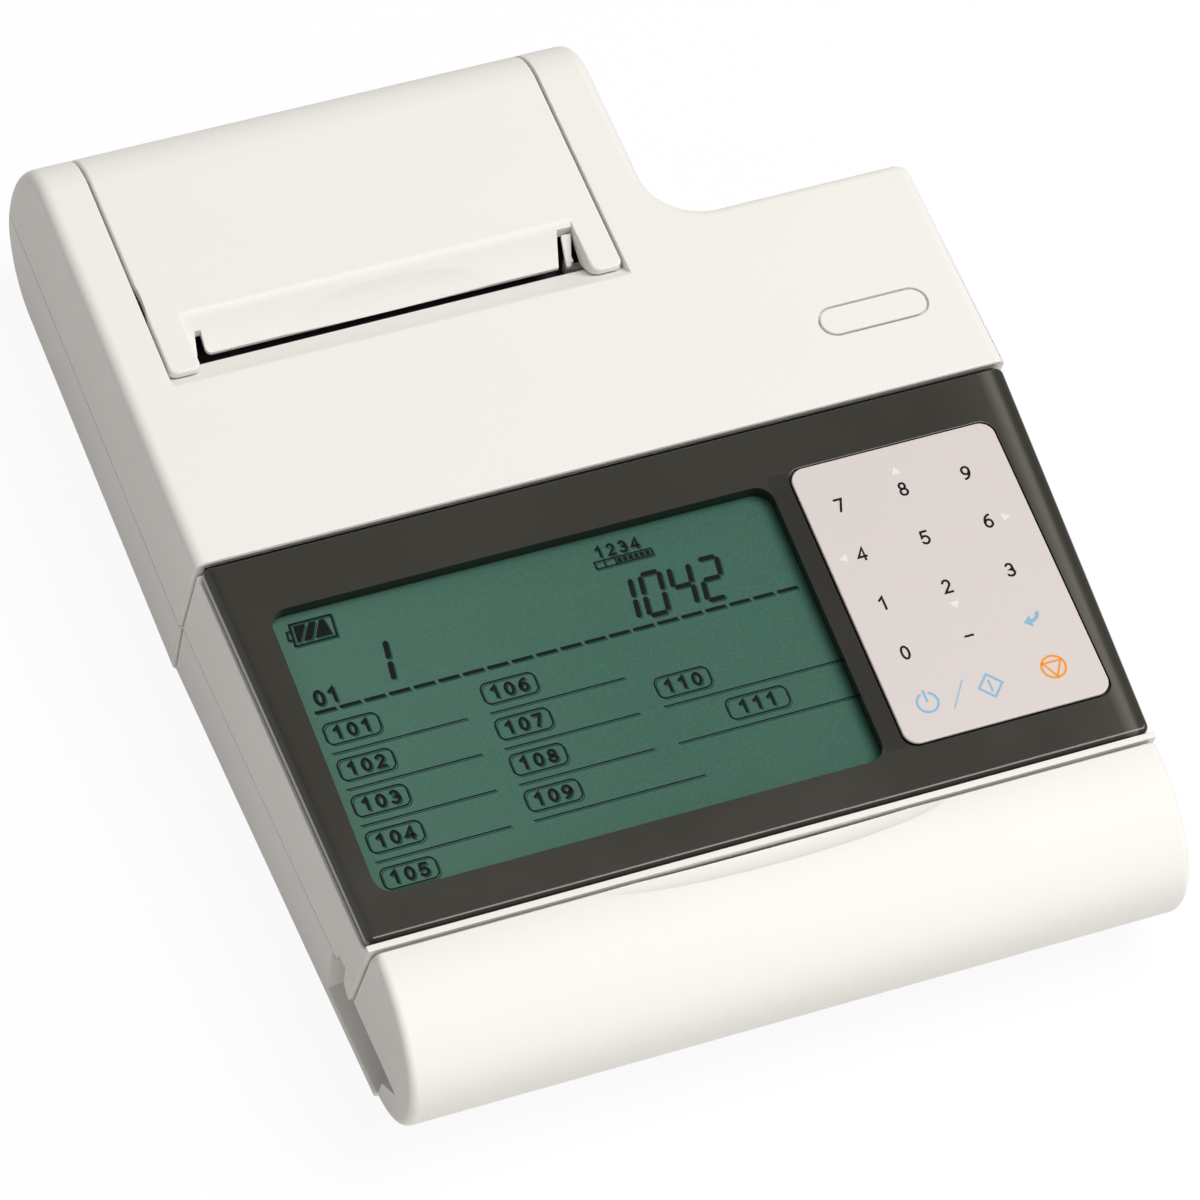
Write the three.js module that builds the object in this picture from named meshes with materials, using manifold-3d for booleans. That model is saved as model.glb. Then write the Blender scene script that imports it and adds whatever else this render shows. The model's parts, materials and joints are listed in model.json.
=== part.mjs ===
// Portable urine analyzer: a flat desk unit with a rear printer tower, a tilted display and key panel,
// and a strip drawer behind the rounded front. Millimetres, +X right, +Y back, +Z up.
// The origin is on the table, under the middle of the unit.
import * as THREE from 'three';
import { mergeVertices } from 'three/addons/utils/BufferGeometryUtils.js';
import Module from 'manifold-3d';

const wasm = await Module();
wasm.setup();

// Clearances and walls
const SEAT_GAP = 0.3;
const SEAM_GAP = 0.4;
const RUN_GAP = 0.4;
const OVERRUN = 5;
const WALL = 1.8;
const FLOOR = 1.6;
const RIB = 1.6;

// Rear body, seen from the side
const BODY_TOP = 36.2;
const REAR_BOTTOM = 1.7;
const REAR_HALF_WIDTH = 64.2;
const REAR_EDGE = 85.1;
const REAR_FRONT = -0.25;
const REAR_TOP_RADIUS = 10.3;
const REAR_BOTTOM_RADIUS = 12.4;
const REAR_LEAN = 23;
const REAR_CASE_SPLIT = 15.5;
const EDGE_RADIUS = 2.4;
const TOWER_RIGHT = 24;
const RIGHT_PART_BACK = 39.5;
const INNER_CORNER_RADIUS = 9;
const SEAM_MID_SETBACK = 3.7;
const SEAM_FOOT_SETBACK = 5.1;

// Display and key panel, in its own tilted plane measured from its back edge
const PANEL_BACK = -0.55;
const PANEL_STEP = 0.7;
const PANEL_BACK_HEIGHT = BODY_TOP - PANEL_STEP;
const PANEL_TILT = 4;
const PANEL_DEPTH = 64.5;
const PANEL_FRONT_HEIGHT = PANEL_BACK_HEIGHT - PANEL_DEPTH * Math.sin(THREE.MathUtils.degToRad(PANEL_TILT));
const FRONT_SIDE_STEP = 0.6;
const FRONT_TAPER = 2.6;
const FRONT_HALF_BACK = REAR_HALF_WIDTH - FRONT_SIDE_STEP;
const FRONT_HALF_FRONT = FRONT_HALF_BACK - FRONT_TAPER;
const PANEL_SIDE_RIM = 0.4;
const PANEL_HALF_BACK = FRONT_HALF_BACK - PANEL_SIDE_RIM;
const PANEL_HALF_FRONT = FRONT_HALF_FRONT - PANEL_SIDE_RIM;
const PANEL_THICK = 2.2;
const PANEL_CORNER = 1.2;
const KEYPAD_SIDE_MARGIN = 5.5;
const KEYPAD_WIDTH = 32.6;
const KEYPAD_RIGHT = PANEL_HALF_BACK - KEYPAD_SIDE_MARGIN;
const KEYPAD_LEFT = KEYPAD_RIGHT - KEYPAD_WIDTH;
const KEYPAD_BACK = 8.7;
const KEYPAD_FRONT_MARGIN = 7.5;
const KEYPAD_FRONT = PANEL_DEPTH - KEYPAD_FRONT_MARGIN;
const WINDOW_SIDE_MARGIN = 6.7;
const WINDOW_KEYPAD_GAP = 3.4;
const WINDOW_LEFT = WINDOW_SIDE_MARGIN - PANEL_HALF_BACK;
const WINDOW_RIGHT = KEYPAD_LEFT - WINDOW_KEYPAD_GAP;
const WINDOW_BACK = 9.7;
const WINDOW_FRONT = PANEL_DEPTH - WINDOW_SIDE_MARGIN;
const WINDOW_CORNER = 2.8;
const LCD_MARGIN = 1.6;
const LCD_THICK = 1.5;
const BACKLIGHT_THICK = 3;
const BOARD_THICK = 1.6;
const DECK_THICK = 1.6;
const BOARD_INSET = 4.5;

// Key field
const KEYPAD_CORNER = 2.3;
const KEYPAD_SHEET = 0.5;
const KEYPAD_PROUD = 0.3;
const KEY_SIDE_MARGIN = 5.3;
const KEY_RIGHT_MARGIN = 7;
const KEY_COLUMN_STEPS = 2;
const KEY_FIRST_X = KEYPAD_LEFT + KEY_SIDE_MARGIN;
const KEY_PITCH_X = (KEYPAD_WIDTH - KEY_SIDE_MARGIN - KEY_RIGHT_MARGIN) / KEY_COLUMN_STEPS;
const KEY_BACK_MARGIN = 7.3;
const KEY_FRONT_MARGIN = 6.2;
const KEY_ROW_STEPS = 4;
const KEY_FIRST_DEPTH = KEYPAD_BACK + KEY_BACK_MARGIN;
const KEY_PITCH_Y = (KEYPAD_FRONT - KEY_FRONT_MARGIN - KEY_FIRST_DEPTH) / KEY_ROW_STEPS;
const KEY_GAP = 3.1;
const KEY_RADIUS = (KEY_PITCH_Y - KEY_GAP) / 2;
const KEY_TRAVEL = 0.4;
const WIDE_KEY_HALF = 3.4;
const WIDE_KEY_COLUMN_SHARE = 0.5;

// Front body
const FRONT_BOTTOM = 2.8;
const FRONT_CASE_SPLIT = 15.2;
const LIP_THICK = 1.1;
const FRONT_WALL_DROP = 11;
const HOOK_DEPTH = 5;
const HOOK_HEIGHT = 3.6;
const GRIP_DEPTH = 4.6;

// Drawer front, the rounded cover
const COVER_SIDE_STEP = 0.6;
const COVER_HALF_WIDTH = FRONT_HALF_FRONT - COVER_SIDE_STEP;
const COVER_REACH = 20.6;
const COVER_NOSE = -PANEL_DEPTH - COVER_REACH;
const FLOOR_LIP_SETBACK = 11.3;
const FLOOR_LIP = -COVER_NOSE - FLOOR_LIP_SETBACK;
const COVER_CROWN = 0.3;
const COVER_TOP = PANEL_FRONT_HEIGHT + COVER_CROWN;
const COVER_BOTTOM = 2.9;
const COVER_NOSE_HEIGHT = 16.4;
const COVER_LIP_DROP = 0.4;
const COVER_LIP_HEIGHT = PANEL_FRONT_HEIGHT - COVER_LIP_DROP;
const COVER_WALL = 1.9;
const COVER_CREST_FLAT = 0.53;
const COVER_LOWER_DEPTH = 11;
const COVER_LOWER_BACK = COVER_NOSE + COVER_LOWER_DEPTH;
const CHEEK_DEPTH = 22.5;
const CHEEK_TIP_BACK = COVER_NOSE + CHEEK_DEPTH;
const CHEEK_TIP_HEIGHT = 11.5;
const SIDE_WINDOW_SETBACK = 7.3;
const SIDE_WINDOW_BACK = -CHEEK_TIP_BACK - SIDE_WINDOW_SETBACK;
const CHEEK_SLOT_DEPTH = 5.2;
const CHEEK_SLOT_FRONT = COVER_NOSE + CHEEK_SLOT_DEPTH;
const CHEEK_SLOT_HEIGHT = 13.1;
const CHEEK_LOWER_DEPTH = 10;
const CHEEK_LOWER_BACK = COVER_NOSE + CHEEK_LOWER_DEPTH;
const CHEEK_LOWER_HEIGHT = 8.8;
const COVER_END_RADIUS = 2.6;
const SCOOP_WIDTH = 43;
const SCOOP_DEPTH = 1.1;

// Strip tray, its rack, rails and drive
const TRAY_HALF_WIDTH = 12.6;
const TRAY_BASE = 7.2;
const TRAY_HEIGHT = 4.6;
const TRAY_FLOOR = 1.6;
const TRAY_BACK = 1;
const TRAY_CHANNEL_HALF = 4.2;
const TRAY_CHANNEL_DEPTH = 1.4;
const TRAY_SIDE_HALF = 10.4;
const TRAY_BRACKET = 5;
const REFERENCE_LENGTH = 9;
const REFERENCE_THICK = 0.9;
const RAIL_LIP = 1.2;
const RAIL_SHELF = 3;
const RAIL_THICK = 1.5;
const GEAR_MODULE = 0.8;
const PINION_TEETH = 15;
const PINION_THICK = 2.2;
const PINION_SETBACK = 33.1;
const PINION_DEPTH = -COVER_NOSE - PINION_SETBACK;
const SHAFT_RADIUS = 1;
const RACK_BACKING = 1.6;
const RACK_END_ROOM = 2;
const RACK_FRONT_TEETH_SHARE = 1.5;
const GEAR_ROOT_SHARE = 1.15;
const GEAR_TIP_SHARE = 0.75;
const TOOTH_ROOT_SHARE = 0.31;
const TOOTH_TIP_SHARE = 0.1;
const MOTOR_RADIUS = 7;
const MOTOR_TOP_ROOM = 22.4;
const MOTOR_HEIGHT = PANEL_FRONT_HEIGHT - MOTOR_TOP_ROOM;
const SHELF_THICK = 1.2;
const OPTICS_BACK = -14;
const OPTICS_MOTOR_GAP = 5;
const OPTICS_LENGTH = PINION_DEPTH - MOTOR_RADIUS - OPTICS_MOTOR_GAP + OPTICS_BACK;
const OPTICS_CAVITY_WALL = 7.2;
const OPTICS_CAVITY_DEPTH = 3.6;
const OPTICS_GAP = 1;
const OPTICS_TOP_ROOM = 23.8;
const OPTICS_HEIGHT = PANEL_FRONT_HEIGHT - OPTICS_TOP_ROOM;
const OPTICS_TOP = TRAY_BASE + TRAY_HEIGHT + OPTICS_GAP + OPTICS_HEIGHT;
const OPTICS_HALF_WIDTH = 20.5;

// Printer bay and cover
const SEAM_SIDE_LEFT = 7.9;
const SEAM_SIDE_RIGHT = 8.7;
const COVER_SEAM_LEFT = SEAM_SIDE_LEFT - REAR_HALF_WIDTH;
const COVER_SEAM_RIGHT = TOWER_RIGHT - SEAM_SIDE_RIGHT;
const PRONG_WIDTH = 4.8;
const PRONG_CORNER = 1.1;
const SLOT_FRONT = 36.2;
const POCKET_SETBACK = 5.2;
const POCKET_FRONT = SLOT_FRONT - POCKET_SETBACK;
const PRONG_SETBACK = 3.3;
const PRONG_END = SLOT_FRONT - PRONG_SETBACK;
const SLOT_WIDTH = 1.5;
const SLOT_DROP = 3.7;
const SLOT_HEIGHT = BODY_TOP - SLOT_DROP;
const FLAP_LENGTH = 7;
const FLAP_TOP = SLOT_FRONT + FLAP_LENGTH;
const HINGE_DROP = 16.2;
const HINGE_HEIGHT = BODY_TOP - HINGE_DROP;
const KNUCKLE_RADIUS = 1.5;
const HINGE_PIN_RADIUS = 0.6;
const KNUCKLE_COUNT = 5;
const FLAP_NOTCH_INSET = 7;
const FLAP_NOTCH_LEFT = COVER_SEAM_RIGHT - FLAP_NOTCH_INSET;
const PRONG_SLIT_WIDTH = 0.9;
const PRONG_SLIT_DEPTH = 2.7;
const GUIDE_TAB_WIDTH = 1;
const GUIDE_TAB_THICK = 1.2;
const GUIDE_TAB_ARM = 1;
const GUIDE_TAB_DROP = 1.7;
const ROLL_ROOM = 3.95;
const ROLL_RADIUS = (BODY_TOP - REAR_BOTTOM) / 2 - ROLL_ROOM;
const FRAME_SIDE_ROOM = 4.3;
const FRAME_HALF = (COVER_SEAM_RIGHT - COVER_SEAM_LEFT) / 2 - FRAME_SIDE_ROOM;
const ROLL_END_ROOM = 2.75;
const ROLL_WIDTH = 2 * (FRAME_HALF - ROLL_END_ROOM);
const ROLL_CORE_RADIUS = 6;
const ROLL_SETBACK = 10.5;
const ROLL_AXIS_Y = SLOT_FRONT + ROLL_RADIUS + ROLL_SETBACK;
const ROLL_RISE = 0.65;
const ROLL_AXIS_Z = (BODY_TOP + REAR_BOTTOM) / 2 + ROLL_RISE;
const ROLL_SHAFT_RADIUS = 3.2;
const ROLL_PAD = 2.2;
const PLATEN_RADIUS = 4.2;
const PLATEN_DROP = 7.5;
const PLATEN_AXIS_Z = SLOT_HEIGHT - PLATEN_DROP;
const PLATEN_SHAFT_RADIUS = 1.5;
const PLATEN_TEETH = 14;
const PRINTER_MOTOR_TEETH = 12;
const PRINTER_GEAR_THICK = 2.4;
const PRINTER_MOTOR_RADIUS = 5.2;
const PRINTER_MOTOR_LENGTH = 24;
const HEAD_THICK = 2;
const HEAD_HEIGHT = 12;
const FRAME_PLATE = 1.5;
const FRAME_BACK_REACH = 8;
const FRAME_BACK = ROLL_AXIS_Y + FRAME_BACK_REACH;
const FRAME_RISE = 3;
const FRAME_TOP = PLATEN_AXIS_Z + FRAME_RISE;

// Batteries and sockets
const BATTERY_RADIUS = 7.1;
const BATTERY_SIDE_ROOM = 15;
const BATTERY_LENGTH = REAR_HALF_WIDTH - BATTERY_SIDE_ROOM;
const BATTERY_NUB_RADIUS = 2.7;
const BATTERY_HEADROOM = 0.8;
const FRAME_BATTERY_CLEAR = REAR_BOTTOM + WALL + SEAT_GAP + 2 * BATTERY_RADIUS + BATTERY_HEADROOM;
const BATTERY_NUB = 1;
const CONTACT_THICK = 0.5;
const BATTERY_FIRST_Y = 14;
const BATTERY_DOOR_MARGIN = 2.4;
const BATTERY_DOOR_SIDE_ROOM = 16.2;
const BATTERY_DOOR_LENGTH = 2 * (REAR_HALF_WIDTH - BATTERY_DOOR_SIDE_ROOM);
const BATTERY_RIB_HEIGHT = 5.6;
const CONTACT_HEIGHT = 9;
const IO_BOARD_HEIGHT = 20;
const IO_BOARD_SIDE_ROOM = 3.2;
const IO_BOARD_WIDTH = 34;
const IO_BOARD_RIGHT = REAR_HALF_WIDTH - IO_BOARD_SIDE_ROOM;
const IO_BOARD_LEFT = IO_BOARD_RIGHT - IO_BOARD_WIDTH;
const IO_BOARD_FRONT = 12;
const JACK_WIDTH = 9;
const JACK_HEIGHT = 10;
const JACK_LENGTH = 13;
const JACK_BORE_RADIUS = 3;
const JACK_PIN_RADIUS = 1;
const JACK_BORE_WALL = 3;
const JACK_PIN_ROOT = 0.75;
const JACK_INSET = 8;
const JACK_X = IO_BOARD_LEFT + JACK_INSET;
const PORT_RADIUS = 6.2;
const PORT_WALL = 1;
const PORT_LENGTH = 13;
const PORT_INSET = 9;
const PORT_X = IO_BOARD_RIGHT - PORT_INSET;

// Feet, screws and the blank inlay
const FOOT_RADIUS = 5;
const FOOT_RECESS = 0.8;
const FOOT_X_INSET = 12;
const FRONT_FOOT_SETBACK = 35.1;
const FRONT_FOOT_Y = COVER_NOSE + FRONT_FOOT_SETBACK;
const REAR_FOOT_Y = 66;
const SCREW_RADIUS = 1.4;
const SCREW_HEAD_RADIUS = 2.6;
const SCREW_HEAD = 1.6;
const SCREW_LENGTH = 11;
const BOSS_RADIUS = 3;
const SCREW_X_INSET = 4;
const REAR_SCREW_Y = 50;
const INLAY_SIDE_ROOM = 15.9;
const INLAY_X = REAR_HALF_WIDTH - INLAY_SIDE_ROOM;
const INLAY_Y = 13.9;
const INLAY_LENGTH = 17;
const INLAY_WIDTH = 4.8;
const INLAY_DEPTH = 0.7;
const INLAY_ROUND_SHARE = 0.99;

// How finely round shapes are stepped
const ARC_STEPS = 5;
const ROUND_STEPS = 24;
const SMALL_ROUND_STEPS = 16;
const CORNER_STEPS = 3;
const SCOOP_STEPS = 192;

const radians = THREE.MathUtils.degToRad;

// Finishes
const finish = (color, roughness, metalness = 0) =>
  new THREE.MeshStandardMaterial({ color, roughness, metalness });
const WHITE_CASE = () => finish(0xe9e7e1, 0.5);
const DARK_PANEL = () => finish(0x47443e, 0.15);
const LCD_GREEN = () => finish(0x4a7f6b, 0.2);
const CLEAR_WHITE = () => finish(0xf1f1ea, 0.3);
const KEY_SHEET = () => finish(0xd9d0cc, 0.45);
const KEY_RUBBER = () => finish(0x9a9a96, 0.8);
const BOARD_GREEN = () => finish(0x2c6a45, 0.6);
const STEEL = () => finish(0xa8abae, 0.35, 1);
const BRIGHT_STEEL = () => finish(0xc7cacc, 0.25, 1);
const BLACK_PLASTIC = () => finish(0x222325, 0.55);
const GREY_PLASTIC = () => finish(0x85878a, 0.55);
const RUBBER = () => finish(0x2a2a2b, 0.9);
const PAPER = () => finish(0xf7f6f1, 0.85);
const BATTERY_WRAP = () => finish(0x3a4c66, 0.4, 0.3);

// Solids: every piece is a closed manifold until it is handed to the scene
function solidOf(geometry) {
  const bare = geometry.clone();
  bare.deleteAttribute('normal');
  bare.deleteAttribute('uv');
  const merged = mergeVertices(bare);
  return new wasm.Manifold(new wasm.Mesh({
    numProp: 3,
    vertProperties: new Float32Array(merged.attributes.position.array),
    triVerts: new Uint32Array(merged.index.array),
  }));
}

function geometryOf(solid) {
  const mesh = solid.getMesh();
  const geometry = new THREE.BufferGeometry();
  geometry.setAttribute('position', new THREE.BufferAttribute(new Float32Array(mesh.vertProperties), 3));
  geometry.setIndex(new THREE.BufferAttribute(new Uint32Array(mesh.triVerts), 1));
  geometry.computeVertexNormals();
  return geometry;
}

const unite = (...solids) => solids.reduce((whole, next) => whole.add(next));
const carve = (solid, ...cutters) => cutters.reduce((left, next) => left.subtract(next), solid);

function block(x0, x1, y0, y1, z0, z1) {
  const box = new THREE.BoxGeometry(x1 - x0, y1 - y0, z1 - z0);
  box.translate((x0 + x1) / 2, (y0 + y1) / 2, (z0 + z1) / 2);
  return solidOf(box);
}

// A block on one side of the middle plane, between two distances from it
function sideBlock(side, near, far, y0, y1, z0, z1) {
  return block(Math.min(side * near, side * far), Math.max(side * near, side * far), y0, y1, z0, z1);
}

function outline(points) {
  const shape = new THREE.Shape();
  points.forEach(([a, b], index) => (index ? shape.lineTo(a, b) : shape.moveTo(a, b)));
  return shape;
}

function extrude(shape, length) {
  return new THREE.ExtrudeGeometry(shape, { depth: length, bevelEnabled: false, curveSegments: ARC_STEPS });
}

// An outline in plan, raised from z0 to z1
function raise(points, z0, z1) {
  const geometry = extrude(outline(points), z1 - z0);
  geometry.translate(0, 0, z0);
  return solidOf(geometry);
}

// An outline seen from the side, as points (y, z), drawn out from x0 to x1
function across(points, x0, x1) {
  const geometry = extrude(outline(points), x1 - x0);
  geometry.applyMatrix4(new THREE.Matrix4().set(0, 0, 1, 0, 1, 0, 0, 0, 0, 1, 0, 0, 0, 0, 0, 1));
  geometry.translate(x0, 0, 0);
  return solidOf(geometry);
}

// An outline seen from the front, as points (x, z), drawn out from y0 to y1
function along(points, y0, y1) {
  const geometry = extrude(outline(points), y1 - y0);
  geometry.rotateX(Math.PI / 2);
  geometry.translate(0, y1, 0);
  return solidOf(geometry);
}

function cylinder(radius, length, steps = ROUND_STEPS) {
  return new THREE.CylinderGeometry(radius, radius, length, steps);
}

function roundX(y, z, radius, x0, x1, steps) {
  const geometry = cylinder(radius, x1 - x0, steps);
  geometry.rotateZ(Math.PI / 2);
  geometry.translate((x0 + x1) / 2, y, z);
  return solidOf(geometry);
}

function roundY(x, z, radius, y0, y1, steps) {
  const geometry = cylinder(radius, y1 - y0, steps);
  geometry.translate(x, (y0 + y1) / 2, z);
  return solidOf(geometry);
}

function roundZ(x, y, radius, z0, z1, steps) {
  const geometry = cylinder(radius, z1 - z0, steps);
  geometry.rotateX(Math.PI / 2);
  geometry.translate(x, y, (z0 + z1) / 2);
  return solidOf(geometry);
}

// Points of an arc about (a, b), from one angle to another in degrees
function arc(a, b, radius, from, to, steps = ARC_STEPS) {
  const points = [];
  for (let step = 0; step <= steps; step += 1) {
    const angle = radians(from + (to - from) * step / steps);
    points.push([a + radius * Math.cos(angle), b + radius * Math.sin(angle)]);
  }
  return points;
}

function roundedRectangle(a0, a1, b0, b1, radius) {
  return [
    ...arc(a1 - radius, b0 + radius, radius, -90, 0),
    ...arc(a1 - radius, b1 - radius, radius, 0, 90),
    ...arc(a0 + radius, b1 - radius, radius, 90, 180),
    ...arc(a0 + radius, b0 + radius, radius, 180, 270),
  ];
}

const analyzer = new THREE.Group();
const panelGroup = new THREE.Group();
panelGroup.position.set(0, PANEL_BACK, PANEL_BACK_HEIGHT);
panelGroup.rotation.x = radians(PANEL_TILT);
analyzer.add(panelGroup);

function place(name, solid, material, group = analyzer) {
  const mesh = new THREE.Mesh(geometryOf(solid), material);
  mesh.name = name;
  group.add(mesh);
  return mesh;
}

// Brings a solid drawn in the panel's plane into the unit's frame
function tilted(solid) {
  const turn = new THREE.Matrix4().makeRotationX(radians(PANEL_TILT));
  turn.setPosition(0, PANEL_BACK, PANEL_BACK_HEIGHT);
  return solidOf(geometryOf(solid).applyMatrix4(turn));
}

// Height of the panel's plane, lowered by a depth square to it, at a place y
const panelHeight = (y, depth = 0) =>
  PANEL_BACK_HEIGHT - (PANEL_BACK - y) * Math.tan(radians(PANEL_TILT)) - depth / Math.cos(radians(PANEL_TILT));
const panelFront = PANEL_BACK - PANEL_DEPTH * Math.cos(radians(PANEL_TILT));

// Rear body
const lowerCentre = [REAR_EDGE - REAR_BOTTOM_RADIUS, REAR_BOTTOM + REAR_BOTTOM_RADIUS];
const upperCentreHeight = BODY_TOP - REAR_TOP_RADIUS;
const leanCos = Math.cos(radians(REAR_LEAN));
const leanSin = Math.sin(radians(REAR_LEAN));
const upperCentre = [
  lowerCentre[0] + (REAR_BOTTOM_RADIUS - REAR_TOP_RADIUS
    - (upperCentreHeight - lowerCentre[1]) * leanSin) / leanCos,
  upperCentreHeight,
];

// The rear of the tower seen from the side, drawn in by a wall thickness
function towerProfile(inset, front) {
  return [
    [front + SEAM_FOOT_SETBACK, REAR_BOTTOM + inset],
    ...arc(lowerCentre[0], lowerCentre[1], REAR_BOTTOM_RADIUS - inset, -90, REAR_LEAN, 2 * ARC_STEPS),
    ...arc(upperCentre[0], upperCentre[1], REAR_TOP_RADIUS - inset, REAR_LEAN, 90),
    [front, BODY_TOP - inset],
    [front + SEAM_MID_SETBACK, REAR_CASE_SPLIT],
  ];
}

// How far back the outer face of the tower lies at a height on its leaning stretch
const towerBackAt = (height) =>
  lowerCentre[0] + (REAR_BOTTOM_RADIUS - (height - lowerCentre[1]) * leanSin) / leanCos;

// The rear body in plan, drawn in by a wall thickness
function rearPlan(inset) {
  const left = inset - REAR_HALF_WIDTH;
  const right = REAR_HALF_WIDTH - inset;
  const towerRight = TOWER_RIGHT - inset;
  const partBack = RIGHT_PART_BACK - inset;
  const radius = INNER_CORNER_RADIUS + inset;
  const front = REAR_FRONT - OVERRUN;
  const back = REAR_EDGE + OVERRUN;
  return [
    [left, front],
    [right, front],
    ...arc(right - EDGE_RADIUS, partBack - EDGE_RADIUS, EDGE_RADIUS, 0, 90),
    ...arc(towerRight + radius, partBack + radius, radius, 270, 180),
    [towerRight, back],
    [left, back],
  ];
}

// A front view with rounded upper corners
function crown(left, right, bottom, top, radius) {
  return [
    [left, bottom],
    [right, bottom],
    ...arc(right - radius, top - radius, radius, 0, 90),
    ...arc(left + radius, top - radius, radius, 90, 180),
  ];
}

function rearBody(inset, front) {
  const low = REAR_BOTTOM - OVERRUN;
  const radius = Math.max(EDGE_RADIUS - inset, EDGE_RADIUS / 2);
  const top = BODY_TOP - inset;
  const side = across(towerProfile(inset, front), -REAR_HALF_WIDTH, REAR_HALF_WIDTH);
  const plan = raise(rearPlan(inset), low, BODY_TOP + OVERRUN);
  const towerFrom = RIGHT_PART_BACK - inset;
  const shoulderBack = towerFrom + INNER_CORNER_RADIUS;
  const left = inset - REAR_HALF_WIDTH;
  const wide = along(crown(left, REAR_HALF_WIDTH - inset, low, top, radius), front - OVERRUN, towerFrom);
  const corner = along(crown(left, REAR_HALF_WIDTH, low, top, radius), towerFrom, shoulderBack);
  const narrow = along(crown(left, TOWER_RIGHT - inset, low, top, radius), shoulderBack, REAR_EDGE + OVERRUN);
  return side.intersect(plan).intersect(unite(wide, corner, narrow));
}

const below = (height) => block(-2 * REAR_HALF_WIDTH, 2 * REAR_HALF_WIDTH, -2 * REAR_EDGE, 2 * REAR_EDGE,
  -OVERRUN, height);
const above = (height) => block(-2 * REAR_HALF_WIDTH, 2 * REAR_HALF_WIDTH, -2 * REAR_EDGE, 2 * REAR_EDGE,
  height, BODY_TOP + 2 * OVERRUN);

const rearOuter = rearBody(0, REAR_FRONT);
const rearInner = rearBody(WALL, REAR_FRONT - 2 * OVERRUN);
const rearShell = rearOuter.subtract(rearInner);

// Printer pocket: the cover's opening, and the ledge that slopes down to the paper slot
const bayLeft = COVER_SEAM_LEFT - SEAM_GAP;
const bayRight = COVER_SEAM_RIGHT + SEAM_GAP;
const slotBack = SLOT_FRONT + SLOT_WIDTH;
const sillTop = HINGE_HEIGHT - KNUCKLE_RADIUS - SEAT_GAP;
const bayOpening = across([
  [POCKET_FRONT, BODY_TOP + OVERRUN],
  [POCKET_FRONT, BODY_TOP],
  [SLOT_FRONT, SLOT_HEIGHT],
  [SLOT_FRONT, sillTop],
  [REAR_EDGE + OVERRUN, sillTop],
  [REAR_EDGE + OVERRUN, BODY_TOP + OVERRUN],
].reverse(), bayLeft, bayRight);
const ledge = across([
  [POCKET_FRONT, BODY_TOP],
  [POCKET_FRONT - WALL, BODY_TOP - WALL / 2],
  [SLOT_FRONT - WALL, SLOT_HEIGHT - WALL],
  [SLOT_FRONT, SLOT_HEIGHT - WALL],
  [SLOT_FRONT, SLOT_HEIGHT],
], bayLeft - RIB / 2, bayRight + RIB / 2);
const cheekWall = (x0, x1) => block(x0, x1, POCKET_FRONT - WALL, towerBackAt(HINGE_HEIGHT) - WALL,
  FRAME_BATTERY_CLEAR, BODY_TOP - WALL / 2).intersect(rearOuter);

// Hinge along the top of the rear sill
const hingeY = towerBackAt(HINGE_HEIGHT) - KNUCKLE_RADIUS;
const knuckleSpan = (bayRight - bayLeft) / KNUCKLE_COUNT;
function knuckle(index, toward) {
  const x0 = bayLeft + index * knuckleSpan + SEAT_GAP;
  const x1 = bayLeft + (index + 1) * knuckleSpan - SEAT_GAP;
  const web = toward * (KNUCKLE_RADIUS + 2 * SEAT_GAP);
  const barrel = roundX(hingeY, HINGE_HEIGHT, KNUCKLE_RADIUS, x0, x1, SMALL_ROUND_STEPS);
  const arm = block(x0, x1, hingeY - KNUCKLE_RADIUS, hingeY + KNUCKLE_RADIUS / 2,
    Math.min(HINGE_HEIGHT, HINGE_HEIGHT + web), Math.max(HINGE_HEIGHT, HINGE_HEIGHT + web));
  return barrel.add(arm);
}
const hingeBore = roundX(hingeY, HINGE_HEIGHT, HINGE_PIN_RADIUS + SEAT_GAP, bayLeft - OVERRUN,
  bayRight + OVERRUN, SMALL_ROUND_STEPS);
const isCaseKnuckle = (index) => index % 2 === 0;
const knuckles = (chosen, toward) => unite(...[...Array(KNUCKLE_COUNT).keys()]
  .filter((index) => isCaseKnuckle(index) === chosen).map((index) => knuckle(index, toward)));

// Bosses for the two case screws, and posts that hang the socket board
const screwPlaces = [-1, 1].map((side) => (side < 0
  ? [-REAR_HALF_WIDTH + SCREW_X_INSET, REAR_SCREW_Y]
  : [TOWER_RIGHT - SCREW_X_INSET, REAR_SCREW_Y]));
const ioBoardBack = RIGHT_PART_BACK - WALL - SEAT_GAP;
const ioPosts = [[IO_BOARD_LEFT + BOSS_RADIUS, IO_BOARD_FRONT + BOSS_RADIUS],
  [IO_BOARD_RIGHT - BOSS_RADIUS, IO_BOARD_FRONT + BOSS_RADIUS]];
const ioBoardTop = IO_BOARD_HEIGHT + BOARD_THICK;
const inletZ = ioBoardTop + SEAT_GAP + JACK_HEIGHT / 2;
const portZ = ioBoardTop + SEAT_GAP + PORT_RADIUS;
const jackHalfWidth = JACK_WIDTH / 2;
const jackHalfHeight = JACK_HEIGHT / 2;
const holeFront = RIGHT_PART_BACK - WALL - OVERRUN;
const holeBack = RIGHT_PART_BACK + OVERRUN;
const inletHoles = [
  block(JACK_X - jackHalfWidth - SEAT_GAP, JACK_X + jackHalfWidth + SEAT_GAP, holeFront, holeBack,
    inletZ - jackHalfHeight - SEAT_GAP, inletZ + jackHalfHeight + SEAT_GAP),
  roundY(PORT_X, portZ, PORT_RADIUS + SEAT_GAP, holeFront, holeBack),
];
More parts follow.
